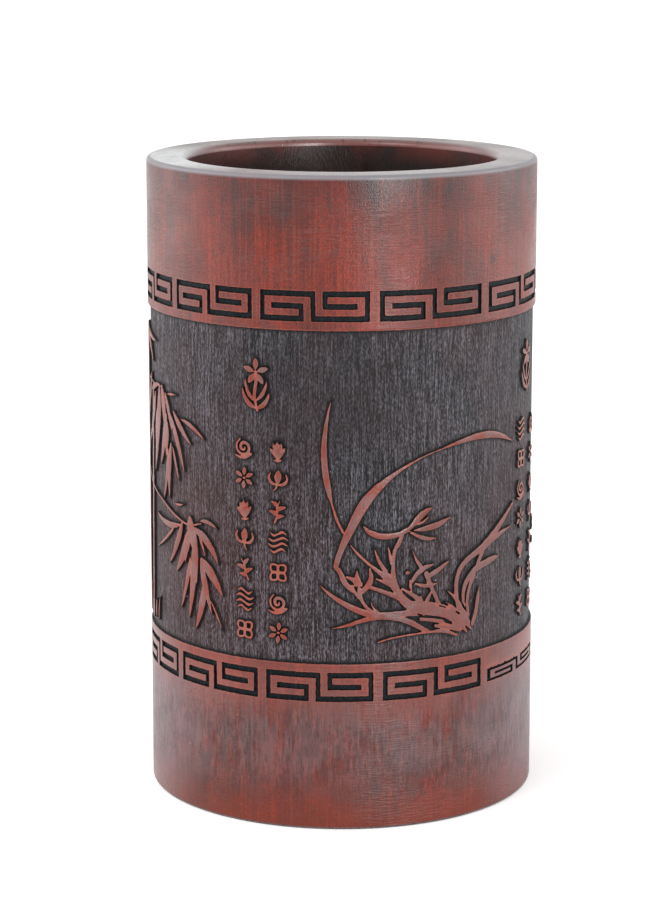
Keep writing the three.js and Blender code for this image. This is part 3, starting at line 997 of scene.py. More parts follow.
class Shell:
    """One closed mesh, put together from wrapped sheets and from rings about the axis."""

    def __init__(self):
        self.points, self.faces, self.finishes = [], [], []
        self.values = {name: [] for name in ATTRIBUTES}

    def add_sheet(self, mesh, finish):
        """Adds a wrapped sheet and returns its lowest and highest rings of points."""
        first = len(self.points)
        count = len(mesh.vertices)
        place = np.empty(count * 3)
        mesh.vertices.foreach_get("co", place)
        place = place.reshape(-1, 3)
        self.points.extend(map(tuple, place))
        for name, values in self.values.items():
            read = np.empty(count)
            mesh.attributes[name].data.foreach_get("value", read)
            values.extend(read)
        carved = self.values["carved"]
        for polygon in mesh.polygons:
            corners = tuple(first + v for v in polygon.vertices)
            self.faces.append(corners)
            self.finishes.append(finish(max(carved[c] for c in corners)))
        edge_use = {}
        for polygon in mesh.polygons:
            for pair in polygon.edge_keys:
                edge_use[pair] = edge_use.get(pair, 0) + 1
        rim = sorted({v for pair, uses in edge_use.items() if uses == 1 for v in pair})
        middle = (place[:, 2].min() + place[:, 2].max()) / 2
        low = [first + v for v in rim if place[v, 2] < middle]
        high = [first + v for v in rim if place[v, 2] >= middle]
        return self._in_order(low), self._in_order(high)

    def _in_order(self, ring):
        return sorted(ring, key=lambda v: math.atan2(self.points[v][1], self.points[v][0]))

    def ring(self, radius, height, count=RING_POINTS):
        """Adds a level ring of points, or a single point on the axis."""
        first = len(self.points)
        for step in range(count):
            angle = -math.pi + 2 * math.pi * (step + 0.5) / count
            self.points.append((radius * MM * math.cos(angle), radius * MM * math.sin(angle),
                                height * MM))
            for values in self.values.values():
                values.append(0.0)
        return list(range(first, first + count))

    def bridge(self, lower, upper, finish):
        """Closes the strip between two rings, whatever their numbers of points."""
        def angles(ring):
            return [math.atan2(self.points[v][1], self.points[v][0]) for v in ring]

        # A ring closes on a single point like a fan.
        for pole, ring in ((lower, upper), (upper, lower)):
            if len(pole) == 1:
                for here, after in zip(ring, ring[1:] + ring[:1]):
                    self.faces.append((pole[0], here, after))
                    self.finishes.append(finish)
                return
        low, high = angles(lower), angles(upper)
        if len(lower) == len(upper) and np.allclose(low, high, atol=1e-4):
            for i in range(len(lower)):
                j = (i + 1) % len(lower)
                self.faces.append((lower[i], lower[j], upper[j], upper[i]))
                self.finishes.append(finish)
            return
        # Rings of unlike numbers are laced together, always by the nearer next point.
        i = j = 0
        turn = 2 * math.pi
        while i < len(lower) or j < len(upper):
            next_low = low[(i + 1) % len(low)] + turn * ((i + 1) // len(low))
            next_high = high[(j + 1) % len(high)] + turn * ((j + 1) // len(high))
            here_low, here_high = lower[i % len(lower)], upper[j % len(upper)]
            if j >= len(upper) or (i < len(lower) and next_low <= next_high):
                self.faces.append((here_low, lower[(i + 1) % len(lower)], here_high))
                i += 1
            else:
                self.faces.append((here_low, upper[(j + 1) % len(upper)], here_high))
                j += 1
            self.finishes.append(finish)

    def mesh(self, name, materials):
        """The shell as a plain mesh, each face with the finish it was added with."""
        mesh = bpy.data.meshes.new(name)
        mesh.from_pydata(self.points, [], self.faces)
        for attribute, values in self.values.items():
            mesh.attributes.new(attribute, "FLOAT", "POINT").data.foreach_set("value", values)
        for material in materials:
            mesh.materials.append(material)
        mesh.polygons.foreach_set("material_index", self.finishes)
        return mesh


# Places in the wall's list of materials.
SKIN, GROUND, GROOVE, END_GRAIN, BORE = range(5)


def arc(centre_radius, centre_height, size, start, end, steps):
    """Profile points (radius, height) on a rounding."""
    angles = np.radians(np.linspace(start, end, steps + 1))
    return [(centre_radius + size * math.cos(a), centre_height + size * math.sin(a))
            for a in angles]


def rows(start, end, step):
    """Heights from start to end, both left out, about a step apart."""
    count = max(int(round(abs(end - start) / step)), 1)
    return list(np.linspace(start, end, count + 1)[1:-1])


def carved_wall(materials):
    """The culm: its three carved strips, closed by rings over the rim, bore and foot."""
    repeat, wrap = repeat_pairs_tree(), wrap_tree()
    shell = Shell()

    def band(fret):
        bottom, top = fret["bottom"], fret["bottom"] + FRET_HEIGHT
        start = math.radians(fret["first_angle"]) - PAIR_GAP / 2 / SKIN_RADIUS
        flat = fret_sheet(bottom)
        mesh = grown("fret_band", flat, [
            (repeat, {"Pairs": PAIRS_IN_BAND, "Pitch": PITCH * MM,
                      "Squashed Pair": fret["squashed_pair"], "Squash": SQUASH,
                      "Rise": SQUASH_RISE * MM, "Strip Bottom": (bottom - FRET_LIP) * MM,
                      "Groove Bottom": bottom * MM, "Groove Top": top * MM,
                      "Strip Top": (top + FRET_LIP) * MM}),
            (wrap, {"Radius": SKIN_RADIUS * MM, "First Angle": start,
                    "Drift": math.radians(SPACING_DRIFT), "Wander": 0.0002,
                    "Material": materials[SKIN]})])
        return shell.add_sheet(mesh, lambda carved: GROOVE if carved > 0.5 else SKIN)

    field = grown("field", field_sheet(), [
        (wrap, {"Radius": SKIN_RADIUS * MM, "Wander": 0.00005, "Material": materials[GROUND]})])
    lower_band = band(LOWER_FRET)
    field_rings = shell.add_sheet(field, lambda carved: GROUND if carved > 0.5 else SKIN)
    upper_band = band(UPPER_FRET)

    shell.bridge(lower_band[1], field_rings[0], SKIN)
    shell.bridge(field_rings[1], upper_band[0], SKIN)

    skin, bore = SKIN_RADIUS, BORE_RADIUS
    above = UPPER_FRET["bottom"] + FRET_HEIGHT + FRET_LIP
    below = LOWER_FRET["bottom"] - FRET_LIP
    rim_shoulder = POT_HEIGHT - RIM_OUTER_ROUNDING
    rim_throat = POT_HEIGHT - RIM_INNER_ROUNDING
    up_the_side = [(skin, z, SKIN) for z in rows(above, rim_shoulder, SIDE_ROW)]
    over_the_edge = [(r, z, SKIN) for r, z in arc(
        skin - RIM_OUTER_ROUNDING, rim_shoulder, RIM_OUTER_ROUNDING, 0, 90, 6)]
    across_the_rim = [(r, POT_HEIGHT, END_GRAIN) for r in rows(
        skin - RIM_OUTER_ROUNDING, bore + RIM_INNER_ROUNDING, RIM_ROW)]
    into_the_mouth = [(r, z, END_GRAIN) for r, z in arc(
        bore + RIM_INNER_ROUNDING, rim_throat, RIM_INNER_ROUNDING, 90, 180, 7)]
    down_the_bore = [(bore, z, BORE) for z in rows(rim_throat, REBATE_HEIGHT, BORE_ROW)]
    rebate = [(bore, REBATE_HEIGHT, BORE), (REBATE_RADIUS, REBATE_HEIGHT, END_GRAIN),
              (REBATE_RADIUS, 0, END_GRAIN)]
    under_the_foot = [(r, z, END_GRAIN) for r, z in arc(
        skin - FOOT_ROUNDING, FOOT_ROUNDING, FOOT_ROUNDING, -90, 0, 4)]
    up_to_the_band = [(skin, z, SKIN) for z in rows(FOOT_ROUNDING, below, SIDE_ROW)]

    last = upper_band[1]
    for radius, height, finish in (
            up_the_side + over_the_edge + across_the_rim + into_the_mouth + down_the_bore
            + rebate + under_the_foot + up_to_the_band):
        ring = shell.ring(radius, height)
        shell.bridge(last, ring, finish)
        last = ring
    shell.bridge(last, lower_band[0], SKIN)

    solid = shell.mesh("bamboo_wall_carved", materials)
    seasoned = grown("seasoned_wall", solid, [(season_tree(), {"Shrink": 0.00014})])
    seasoned.name = "bamboo_wall_carved"
    return finished("bamboo_wall_carved", seasoned)


def turned(name, profile, material, wave=0.0):
    """A solid turned about the axis: (radius, height) points in order along its section.

    The wave is how far the lowest points of a ring rise and fall round it."""
    shell = Shell()
    rings = [shell.ring(radius, height, RING_POINTS if radius else 1)
             for radius, height in profile]
    lowest = min(height for _, height in profile) * MM
    for number, (x, y, z) in enumerate(shell.points):
        if wave and z < lowest + 0.00005:
            turn = math.atan2(y, x)
            rise = 0.5 + 0.25 * math.sin(5 * turn + 0.4) + 0.25 * math.sin(13 * turn + 2)
            shell.points[number] = (x, y, z + wave * MM * rise)
    for lower, upper in zip(rings, rings[1:]):
        shell.bridge(lower, upper, 0)
    if profile[0][0]:
        shell.bridge(rings[-1], rings[0], 0)
    return finished(name, shell.mesh(name, [material]))


def base_board(material):
    """The let-in base, its lower edge broken so that it enters the rebate."""
    bevel = BOARD_BEVEL
    inner_rings = (0, 8, 16, 24, 32)
    under = [(r, DISC_BOTTOM) for r in inner_rings]
    edge = arc(DISC_RADIUS - bevel, DISC_BOTTOM + bevel, bevel, -90, 0, 3)
    side = [(DISC_RADIUS, z) for z in rows(DISC_BOTTOM + bevel, DISC_TOP, 2)]
    upper = [(r, DISC_TOP) for r in (DISC_RADIUS, *reversed(inner_rings))]
    return turned("base_board", under + edge + side + upper, material)


def glue_bead(material):
    """Glue in the gap round the board and over its edge; it stands in waves at the bottom."""
    middle = (DISC_RADIUS + REBATE_RADIUS) / 2
    section = [(DISC_RADIUS, GLUE_BOTTOM), (middle, GLUE_BOTTOM), (REBATE_RADIUS, GLUE_BOTTOM),
               (REBATE_RADIUS, REBATE_HEIGHT), (GLUE_INNER_RADIUS, REBATE_HEIGHT),
               (GLUE_INNER_RADIUS, DISC_TOP), (DISC_RADIUS, DISC_TOP)]
    return turned("glue_bead", section, material, wave=0.25)


def finished(name, mesh):
    """An object at the origin with its faces turned outwards and its creases kept."""
    work = bmesh.new()
    work.from_mesh(mesh)
    bmesh.ops.remove_doubles(work, verts=work.verts, dist=PIECE_WELD)
    bmesh.ops.recalc_face_normals(work, faces=work.faces)
    work.to_mesh(mesh)
    work.free()
    mesh.shade_smooth()
    mesh.set_sharp_from_angle(angle=math.radians(SHARP_ABOVE))
    piece = bpy.data.objects.new(name, mesh)
    bpy.context.scene.collection.objects.link(piece)
    return piece


# ---- Materials -------------------------------------------------------------------------------

def paint(red, green, blue):
    """A colour given as 0 to 255 on a screen, in the linear units that shaders use."""
    def linear(part):
        share = part / 255
        return share / 12.92 if share <= 0.04045 else ((share + 0.055) / 1.055) ** 2.4

    return (linear(red), linear(green), linear(blue), 1.0)


VECTOR = "NodeSocketVector"


def fibre_group():
    """Lengthwise fibres of the culm: long strands, and short torn hairs between them."""
    tree, given, result = new_group(
        "Culm fibres", "ShaderNodeTree",
        [("Vector", VECTOR, None), ("Strands", FLOAT, 900.0), ("Strand Stretch", FLOAT, 14.0),
         ("Hairs", FLOAT, 4000.0), ("Hair Stretch", FLOAT, 2.4)],
        [("Strand", FLOAT), ("Hair", FLOAT), ("Height", FLOAT)])
    layers = []
    for count, stretch, detail in (("Strands", "Strand Stretch", 2.0),
                                   ("Hairs", "Hair Stretch", 1.0)):
        lengthwise = tree.math("DIVIDE", given[count], given[stretch])
        vector = tree.scaled(given["Vector"], given[count], given[count], lengthwise)
        layers.append(tree.stretch(tree.noise(vector, detail, 0.6), 0.28, 0.72))
    tree.feed(result["Strand"], layers[0])
    tree.feed(result["Hair"], layers[1])
    height = tree.math("ADD", tree.math("MULTIPLY", layers[0], 0.5),
                       tree.math("MULTIPLY", layers[1], 0.5))
    tree.feed(result["Height"], height)
    return tree.tree


def turning_group():
    """Fine rings left by the lathe tool, broken where later rubbing has closed them."""
    tree, given, result = new_group(
        "Lathe marks", "ShaderNodeTree",
        [("Vector", VECTOR, None), ("Rings", FLOAT, 3600.0), ("Around", FLOAT, 260.0),
         ("From", FLOAT, 0.4), ("To", FLOAT, 0.62)],
        [("Mark", FLOAT)])
    rings = tree.noise(tree.scaled(given["Vector"], given["Around"], given["Around"],
                                   given["Rings"]), 2.0, 0.6)
    broken = tree.noise(tree.scaled(given["Vector"], 60.0, 60.0, 110.0), 3.0, 0.6)
    mark = tree.math("MULTIPLY", tree.stretch(rings, 0.42, 0.66),
                     tree.stretch(broken, given["From"], given["To"]))
    tree.feed(result["Mark"], mark)
    return tree.tree


def cloud_group():
    """Uneven patches a few millimetres to a few centimetres across, with feathered edges."""
    tree, given, result = new_group(
        "Uneven stain", "ShaderNodeTree",
        [("Vector", VECTOR, None), ("Patches", FLOAT, 60.0), ("Stretch", FLOAT, 2.5),
         ("From", FLOAT, 0.42), ("To", FLOAT, 0.6), ("Fray", FLOAT, 0.0),
         ("Start", VECTOR, None)],
        [("Patch", FLOAT)])
    start = tree.put("ShaderNodeVectorMath", {0: given["Vector"], 1: given["Start"]},
                     operation="ADD").outputs[0]
    lengthwise = tree.math("DIVIDE", given["Patches"], given["Stretch"])
    vector = tree.scaled(start, given["Patches"], given["Patches"], lengthwise)
    threads = tree.noise(tree.scaled(start, 1400.0, 1400.0, 130.0), 3.0, 0.65)
    fray = tree.math("MULTIPLY", tree.math("SUBTRACT", threads, 0.5), given["Fray"])
    frayed = tree.math("ADD", tree.noise(vector, 4.0, 0.6, 0.25), fray)
    tree.feed(result["Patch"], tree.stretch(frayed, given["From"], given["To"]))
    return tree.tree


def dust_group():
    """Sparse pale specks of dust and lint."""
    tree, given, result = new_group(
        "Settled dust", "ShaderNodeTree",
        [("Vector", VECTOR, None), ("Grains", FLOAT, 420.0), ("Size", FLOAT, 0.09)],
        [("Speck", FLOAT)])
    cells = tree.put("ShaderNodeTexVoronoi", {
        "Vector": given["Vector"], "Scale": given["Grains"], "Randomness": 1.0})
    chosen = tree.put("ShaderNodeSeparateColor", {0: cells.outputs["Color"]}).outputs[0]
    rare = tree.stretch(chosen, 0.93, 0.95)
    grain = tree.math("LESS_THAN", cells.outputs["Distance"], given["Size"])
    tree.feed(result["Speck"], tree.math("MULTIPLY", grain, rare))
    return tree.tree


FIBRES, TURNING, STAIN, DUST = fibre_group(), turning_group(), cloud_group(), dust_group()


class Finish(Tree):
    """A material whose colour, roughness and relief are drawn with the groups above."""

    def __init__(self, name, **sockets):
        self.material = bpy.data.materials.new(name)
        self.material.use_nodes = True
        super().__init__(self.material.node_tree)
        self.shader = self.tree.nodes["Principled BSDF"]
        for socket, value in sockets.items():
            self.shader.inputs[socket.replace("_", " ")].default_value = value
        self.place = self.put("ShaderNodeTexCoord").outputs["Object"]
        _, self.back, self.height = self.put("ShaderNodeSeparateXYZ", {0: self.place}).outputs

    def group(self, tree, **inputs):
        """One of the groups above, on this piece's own place."""
        node = self.put("ShaderNodeGroup", node_tree=tree)
        self.feed(node.inputs["Vector"], self.place)
        for name, value in inputs.items():
            self.feed(node.inputs[name.replace("_", " ")], value)
        return node.outputs

    def stain(self, patches, stretch, low, high, start, fray=0.0):
        """A mask of uneven patches; the start picks another part of the same pattern."""
        return self.group(STAIN, Patches=patches, Stretch=stretch, From=low, To=high,
                          Fray=fray, Start=(start, start * 0.7, start * 1.3))["Patch"]

    def near(self, angle, height, reach):
        """1 at a point of the skin, given in degrees and millimetres, fading out to 0."""
        turn = math.radians(angle)
        spot = (SKIN_RADIUS * MM * math.sin(turn), -SKIN_RADIUS * MM * math.cos(turn),
                height * MM)
        gap = self.put("ShaderNodeVectorMath", {0: self.place, 1: spot}, operation="DISTANCE")
        return self.stretch(gap.outputs["Value"], 0.0, reach * MM, 1.0, 0.0)

    def climb(self, low, high, first=0.0, last=1.0):
        """A value that goes from first to last between two heights in millimetres."""
        return self.stretch(self.height, low * MM, high * MM, first, last)

    def between(self, low, high, soft):
        """1 between two heights in millimetres, with soft ends."""
        up = self.climb(low - soft, low + soft)
        down = self.climb(high - soft, high + soft, 1.0, 0.0)
        return self.math("MULTIPLY", up, down)

    def share(self, *parts):
        """The product of several masks or numbers."""
        product = parts[0]
        for part in parts[1:]:
            product = self.math("MULTIPLY", product, part)
        return product

    def laid(self, color, over, *parts):
        """One colour laid over another where all the masks meet."""
        return self.tint(color, over, self.share(*parts))

    def apply(self, color, roughness, relief, depth):
        """Feeds the shader; the depth of the relief is in millimetres."""
        self.feed(self.shader.inputs["Base Color"], color)
        self.feed(self.shader.inputs["Roughness"], roughness)
        bump = self.put("ShaderNodeBump", {"Height": relief, "Strength": 1.0,
                                           "Distance": depth * MM})
        self.feed(self.shader.inputs["Normal"], bump.outputs["Normal"])
        return self.material


def stained_skin():
    """Red stain under a rubbed finish, browner and greyer where the skin drank it unevenly."""
    wood = Finish("red-stained bamboo skin", Specular_IOR_Level=0.34)
    fibres = wood.group(FIBRES, Strands=1500.0, Strand_Stretch=36.0, Hairs=3600.0,
                        Hair_Stretch=1.9)
    strand, hair = fibres["Strand"], fibres["Hair"]
    brown = wood.stain(62.0, stretch=1.7, low=0.4, high=0.64, start=0.31, fray=0.3)
    grey = wood.stain(130.0, stretch=2.2, low=0.46, high=0.7, start=1.7, fray=0.7)
    marks = wood.group(TURNING)["Mark"]

    # The stain itself, then its brighter threads, worn greys, dark hairs and lathe rings, whose
    # pale colour is partly a painted sheen.
    color = wood.tint(paint(140, 38, 16), paint(96, 38, 28), brown)
    color = wood.laid(color, paint(176, 66, 34), wood.stretch(strand, 0.45, 0.8), 0.42)
    color = wood.laid(color, paint(68, 54, 56), grey, 0.37)
    color = wood.laid(color, paint(28, 12, 12), hair, 0.62)
    # Lathe rings painted pale: partly real marks, partly a painted sheen on them.
    color = wood.laid(color, paint(112, 98, 101), marks, 0.14)

    # The lower part of the wall: greyer all round, redder at the foot, painted reflections at two
    # sides, mottled, painted sheen near the meander, and dashed where the stain caught in the
    # grain.
    band = wood.stain(110.0, stretch=1.1, low=0.36, high=0.54, start=5.3, fray=0.9)
    color = wood.laid(color, paint(122, 98, 100), wood.between(11, 30, 5), band, 0.44)
    foot = wood.climb(0, 14, 0.5, 0.0)
    color = wood.laid(color, paint(116, 44, 20), foot)
    # Painted pale reflections near the two sides of the lower wall.
    painted_side_glare = wood.math("MAXIMUM", wood.near(-74, 20, 27), wood.near(72, 20, 27))
    color = wood.laid(color, paint(128, 114, 120), wood.stretch(painted_side_glare, 0.0, 0.7, 0.0, 0.6))
    mottle = wood.stain(230.0, stretch=1.2, low=0.46, high=0.58, start=9.4, fray=1.1)
    color = wood.laid(color, paint(64, 48, 50), wood.between(8, 29, 5), mottle, 0.4)
    # Painted sheen, lighter and pinker, near the lower meander.
    painted_meander_sheen = wood.stain(50.0, stretch=1.0, low=0.34, high=0.6, start=7.7)
    color = wood.laid(color, paint(158, 92, 82), wood.between(27, 40, 4), painted_meander_sheen, 0.34)
    grain = wood.noise(wood.scaled(wood.place, 2100.0, 2100.0, 420.0), 2.0, 0.6, twist=0.8)
    caught = wood.stain(80.0, stretch=0.8, low=0.38, high=0.56, start=6.1, fray=0.4)
    color = wood.laid(color, paint(50, 30, 30), wood.stretch(grain, 0.48, 0.58),
                      wood.between(5, 29, 4), caught, 0.48)

    # Under the rim: darker towards the top, with a painted highlight along the lip itself.
    under_rim = wood.climb(135, 148.5)
    color = wood.laid(color, paint(42, 34, 36), under_rim, wood.stretch(grey, 0.0, 1.0, 0.4, 0.85))
    # A painted highlight on the rounded lip.
    lip = wood.climb(148.8, 149.4, 0.0, 0.75)
    color = wood.laid(color, paint(142, 142, 148), lip)

    # What stands in the field: a duller red, faded in places and lightened by painted glare in
    # two, with a painted highlight along its edges.
    patchy = wood.stain(190.0, stretch=1.0, low=0.42, high=0.6, start=4.1, fray=0.2)
    # Random fading, and painted glare over the orchid's right leaves and the bamboo at the left.
    faded_and_glare = wood.math("MAXIMUM", patchy,
                      wood.math("MAXIMUM", wood.near(38, 58, 26), wood.near(-84, 84, 44)))
    standing = wood.tint(paint(140, 56, 37), paint(128, 103, 102), faded_and_glare)
    color = wood.laid(color, standing, wood.between(FIELD_BOTTOM, FIELD_TOP, 0.3), 0.5)
    # A painted highlight along every standing edge and every fret ridge.
    edge = wood.attribute("edge")
    color = wood.laid(color, paint(176, 88, 66), edge, edge, 0.5)

    # One nick over the upper meander, and scratches near the rim.
    torn = wood.noise(wood.scaled(wood.place, 900.0, 900.0, 420.0), 2.0)
    color = wood.laid(color, paint(30, 16, 14), wood.near(48, 130, 2.2),
                      wood.stretch(torn, 0.45, 0.6))
    scratch = wood.noise(wood.scaled(wood.place, 70.0, 70.0, 2400.0), 2.0, 0.5, twist=0.2)
    color = wood.laid(color, paint(26, 24, 26), wood.stretch(scratch, 0.6, 0.64),
                      wood.near(-72, 142, 14), 0.8)

    worn = wood.stain(36.0, stretch=1.0, low=0.4, high=0.62, start=2.9)
    roughness = wood.math("ADD", wood.stretch(worn, 0.0, 1.0, 0.27, 0.38),
                          wood.share(marks, 0.12))
    relief = wood.math("ADD", wood.share(hair, 0.35), wood.share(marks, 0.75))
    return wood.apply(color, roughness, relief, depth=0.08)


def scraped_ground():
    """The lowered field: torn fibres, scorched dark, and blackest with painted shade at every edge.
    """
    wood = Finish("scraped and scorched ground", Specular_IOR_Level=0.2)
    fibre = wood.group(FIBRES, Strands=3300.0, Strand_Stretch=24.0, Hairs=3900.0,
                       Hair_Stretch=3.4)["Height"]
    bright = wood.math("POWER", wood.stretch(fibre, 0.28, 0.82), 1.7)
    color = wood.tint(paint(1, 1, 2), paint(121, 115, 124), bright)
    warm = wood.stain(34.0, stretch=1.5, low=0.42, high=0.62, start=0.9)
    warm = wood.math("MAXIMUM", wood.share(warm, 0.5), wood.near(-55, 62, 50))
    color = wood.laid(color, paint(74, 28, 22), warm, 0.52)
    sooty = wood.stain(30.0, stretch=1.6, low=0.44, high=0.66, start=2.2)
    darkest = wood.stretch(wood.near(-6, 103, 42), 0.1, 0.75, 0.0, 0.8)
    shadow = wood.math("MAXIMUM", wood.share(sooty, 0.35), darkest)
    color = wood.laid(color, paint(14, 15, 19), shadow, 0.65)
    # Painted shade: near-black at the foot of every edge, laid over the real scorch.
    color = wood.laid(color, paint(3, 4, 6), wood.attribute("scorch_and_shade"), 0.92)
    color = wood.laid(color, paint(140, 136, 138), wood.group(DUST)["Speck"], 0.8)
    roughness = wood.stretch(fibre, 0.0, 1.0, 0.7, 0.42)
    return wood.apply(color, roughness, fibre, depth=0.25)


def burnt_groove():
    """Charred floor and walls of the meander, ribbed by the cutter."""
    wood = Finish("burnt fret groove", Specular_IOR_Level=0.12)
    fibres = wood.group(FIBRES, Strands=1500.0, Strand_Stretch=5.0, Hairs=4200.0,
                        Hair_Stretch=1.5)
    color = wood.laid(paint(3, 5, 7), paint(40, 48, 54), fibres["Strand"], fibres["Hair"])
    roughness = wood.stretch(fibres["Hair"], 0.0, 1.0, 0.45, 0.7)
    return wood.apply(color, roughness, fibres["Height"], depth=0.16)


def end_grain():
    """Cut end of the culm: dark bundles in paler pith, closest together under the skin."""
    wood = Finish("culm end grain", Specular_IOR_Level=0.5, Coat_Weight=0.3,
                  Coat_Roughness=0.3)
    flat = wood.scaled(wood.place, 1.0, 1.0, 0.0)
    out = wood.put("ShaderNodeVectorMath", {0: flat}, operation="LENGTH").outputs["Value"]
    outer = wood.stretch(out, BORE_RADIUS * MM, SKIN_RADIUS * MM)
    color = wood.tint(paint(112, 78, 72), paint(92, 71, 71), outer)

    # Large bundles lie all through the wall, and small ones crowd towards its skin.
    layers = []
    for grains, size, share in ((620.0, 0.32, 0.75), (1350.0, 0.38, outer)):
        cells = wood.put("ShaderNodeTexVoronoi", {
            "Vector": wood.scaled(wood.place, 1.0, 1.0, 0.12), "Scale": grains})
        spot = wood.stretch(cells.outputs["Distance"], size * 0.7, size, 1.0, 0.0)
        layers.append(wood.share(spot, share))
    bundles = wood.math("MAXIMUM", *layers)
    color = wood.laid(color, paint(24, 15, 15), bundles, 0.7)
    patch = wood.stain(60.0, stretch=1.0, low=0.42, high=0.62, start=0.6)
    color = wood.laid(color, paint(50, 40, 40), patch, 0.4)

    # A painted pale reflection across the rim, strongest on the left and broken into streaks.
    painted_rim_glare = wood.math("MAXIMUM", wood.stretch(wood.near(-78, 150, 34), 0.0, 0.6, 0.0, 0.9),
                       wood.stretch(wood.near(60, 150, 60), 0.0, 0.6, 0.0, 0.3))
    streaks = wood.stain(260.0, stretch=0.5, low=0.34, high=0.5, start=3.3)
    color = wood.laid(color, paint(200, 202, 203), painted_rim_glare,
                      wood.stretch(streaks, 0.0, 1.0, 0.72, 1.0))
    color = wood.laid(color, paint(44, 30, 28), bundles, 0.35)

    # At the back the red stain shows where the end turns into the mouth.
    throat = wood.stretch(out, BORE_RADIUS * MM, (BORE_RADIUS + 0.7) * MM, 1.0, 0.0)
    color = wood.laid(color, paint(120, 30, 20), throat, wood.stretch(wood.back, 0.0, 0.02), 0.7)
    roughness = wood.stretch(patch, 0.0, 1.0, 0.3, 0.42)
    return wood.apply(color, roughness, wood.math("SUBTRACT", 1.0, bundles), depth=0.03)


def reamed_bore():
    """The inside: dark stain gone dull, redder at the mouth, with a little dust."""
    wood = Finish("reamed bore", Specular_IOR_Level=0.28)
    fibres = wood.group(FIBRES, Strands=420.0, Strand_Stretch=30.0, Hairs=2600.0,
                        Hair_Stretch=4.0)
    patch = wood.stain(40.0, stretch=2.2, low=0.4, high=0.64, start=1.1)
    color = wood.tint(paint(30, 14, 9), paint(54, 27, 17), fibres["Strand"])
    color = wood.laid(color, paint(26, 22, 21), patch, 0.6)
    color = wood.laid(color, paint(12, 7, 7), fibres["Hair"], 0.4)
    near_mouth = wood.climb(144, 148.8, 0.0, 0.7)
    redder = wood.stain(34.0, stretch=1.0, low=0.38, high=0.56, start=8.2)
    color = wood.laid(color, paint(112, 32, 20), near_mouth, redder)
    specks = wood.group(DUST, Grains=300.0)["Speck"]
    color = wood.laid(color, paint(128, 118, 112), specks, 0.6)
    roughness = wood.stretch(patch, 0.0, 1.0, 0.36, 0.5)
    return wood.apply(color, roughness, fibres["Height"], depth=0.06)


def base_wood():
    """The let-in base: a plain sawn board, stained with the rest and left matt."""
    wood = Finish("stained base board", Specular_IOR_Level=0.35)
    along = wood.scaled(wood.place, 1.0, 0.12, 1.0)
    rings = wood.noise(wood.scaled(along, 380.0, 380.0, 60.0), 3.0, 0.55, twist=0.6)
    pores = wood.noise(wood.scaled(along, 2600.0, 2600.0, 400.0), 2.0, 0.6)
    color = wood.laid(paint(74, 34, 24), paint(112, 56, 36), wood.stretch(rings, 0.35, 0.65))
    dark = wood.stretch(pores, 0.55, 0.68)
    color = wood.laid(color, paint(34, 16, 13), dark, 0.7)
    patch = wood.stain(45.0, stretch=1.0, low=0.42, high=0.6, start=0.2)
    color = wood.laid(color, paint(56, 34, 30), patch, 0.5)
    specks = wood.group(DUST, Grains=260.0)["Speck"]
    color = wood.laid(color, paint(150, 140, 132), specks, 0.6)
    roughness = wood.stretch(dark, 0.0, 1.0, 0.5, 0.75)
    relief = wood.math("SUBTRACT", rings, wood.share(dark, 0.5))
    return wood.apply(color, roughness, relief, depth=0.1)


def squeezed_glue():
    """Brown glue, clouded and glossy in patches."""
    wood = Finish("brown bone glue", Specular_IOR_Level=0.5)
    patch = wood.stain(160.0, stretch=1.0, low=0.4, high=0.6, start=0.5)
    color = wood.tint(paint(70, 44, 22), paint(116, 84, 46), patch)
    fine = wood.noise(wood.scaled(wood.place, 1500.0, 1500.0, 1500.0), 2.0)
    roughness = wood.stretch(fine, 0.3, 0.7, 0.25, 0.5)
    return wood.apply(color, roughness, fine, depth=0.05)


# ---- Scene ------------------------------------------------------------------------------------

CAMERA_PLACE = (0, -0.6732, 0.2192)
CAMERA_LOOKS_DOWN = 11.737
CAMERA_LOOKS_LEFT = 0.235
LENS = 115.1
SENSOR_WIDTH = 36
FAR_CLIP = 20
WORLD_STRENGTH = 1.02
FLOOR_GLOW = 0.28
FLOOR_REACH = 3

# Every lamp is a rectangle aimed at the middle of the pot. Those that do not light matt
# surfaces are there only to be reflected.
LAMPS_AIM = Vector((0, 0, 0.08))
LAMPS = (
    {"name": "key softbox", "place": (-0.75, -0.75, 1.05), "size": (0.5, 0.5),
     "power": 5.0, "lights_matt": True},
    {"name": "window strip", "place": (0.24, -0.46, 0.24), "size": (0.1, 0.6),
     "power": 3.6, "lights_matt": False},
    {"name": "right panel", "place": (0.55, 0.0, 0.24), "size": (0.6, 0.6),
     "power": 3.2, "lights_matt": False},
    {"name": "left panel", "place": (-0.53, 0.06, 0.24), "size": (0.6, 0.6),
     "power": 2.4, "lights_matt": False})


def pale_floor():
    """A matt white sheet to stand the pot on."""
    material = bpy.data.materials.new("pale floor")
    material.use_nodes = True
    shader = material.node_tree.nodes["Principled BSDF"]
    shader.inputs["Base Color"].default_value = (0.95, 0.95, 0.95, 1)
    shader.inputs["Roughness"].default_value = 0.9
    shader.inputs["Specular IOR Level"].default_value = 0.0
    shader.inputs["Emission Color"].default_value = (1, 1, 1, 1)
    shader.inputs["Emission Strength"].default_value = FLOOR_GLOW
    return material


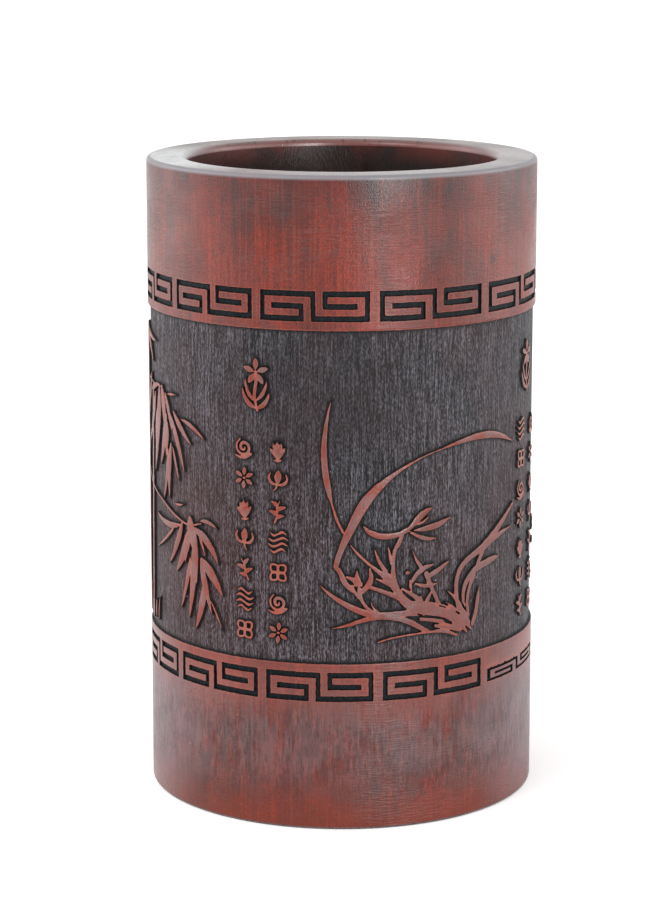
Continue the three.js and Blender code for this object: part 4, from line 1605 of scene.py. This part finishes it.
def studio():
    """Camera, white surroundings, floor and lamps."""
    camera = bpy.data.cameras.new("camera")
    camera.sensor_width = SENSOR_WIDTH
    camera.lens = LENS
    camera.clip_end = FAR_CLIP
    viewer = bpy.data.objects.new("camera", camera)
    bpy.context.scene.collection.objects.link(viewer)
    viewer.location = CAMERA_PLACE
    viewer.rotation_euler = (math.radians(90 - CAMERA_LOOKS_DOWN), 0,
                             math.radians(CAMERA_LOOKS_LEFT))
    bpy.context.scene.camera = viewer

    world = bpy.data.worlds.new("white studio")
    bpy.context.scene.world = world
    world.use_nodes = True
    world.node_tree.nodes["Background"].inputs["Color"].default_value = (1, 1, 1, 1)
    world.node_tree.nodes["Background"].inputs["Strength"].default_value = WORLD_STRENGTH

    mesh = bpy.data.meshes.new("floor")
    reach = FLOOR_REACH
    mesh.from_pydata([(-reach, -reach, 0), (reach, -reach, 0), (reach, reach, 0),
                      (-reach, reach, 0)], [], [(0, 1, 2, 3)])
    mesh.materials.append(pale_floor())
    floor = bpy.data.objects.new("floor", mesh)
    bpy.context.scene.collection.objects.link(floor)

    for lamp in LAMPS:
        light = bpy.data.lights.new(lamp["name"], "AREA")
        light.shape = "RECTANGLE"
        light.energy = lamp["power"]
        light.size, light.size_y = lamp["size"]
        shining = bpy.data.objects.new(lamp["name"], light)
        shining.location = lamp["place"]
        aim = LAMPS_AIM - Vector(lamp["place"])
        shining.rotation_euler = aim.to_track_quat("-Z", "Y").to_euler()
        shining.visible_camera = False
        shining.visible_diffuse = lamp["lights_matt"]
        bpy.context.scene.collection.objects.link(shining)
    bpy.context.scene.view_settings.view_transform = "Standard"


# ---- The pot ------------------------------------------------------------------------------------

materials = [stained_skin(), scraped_ground(), burnt_groove(), end_grain(), reamed_bore()]
wall = carved_wall(materials)
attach(wall, "root")
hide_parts("bamboo_wall")

board = base_board(base_wood())
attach(board, "root")
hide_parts("base_disc")

glue = glue_bead(squeezed_glue())
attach(glue, "root")
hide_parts("base_glue_line")

studio()
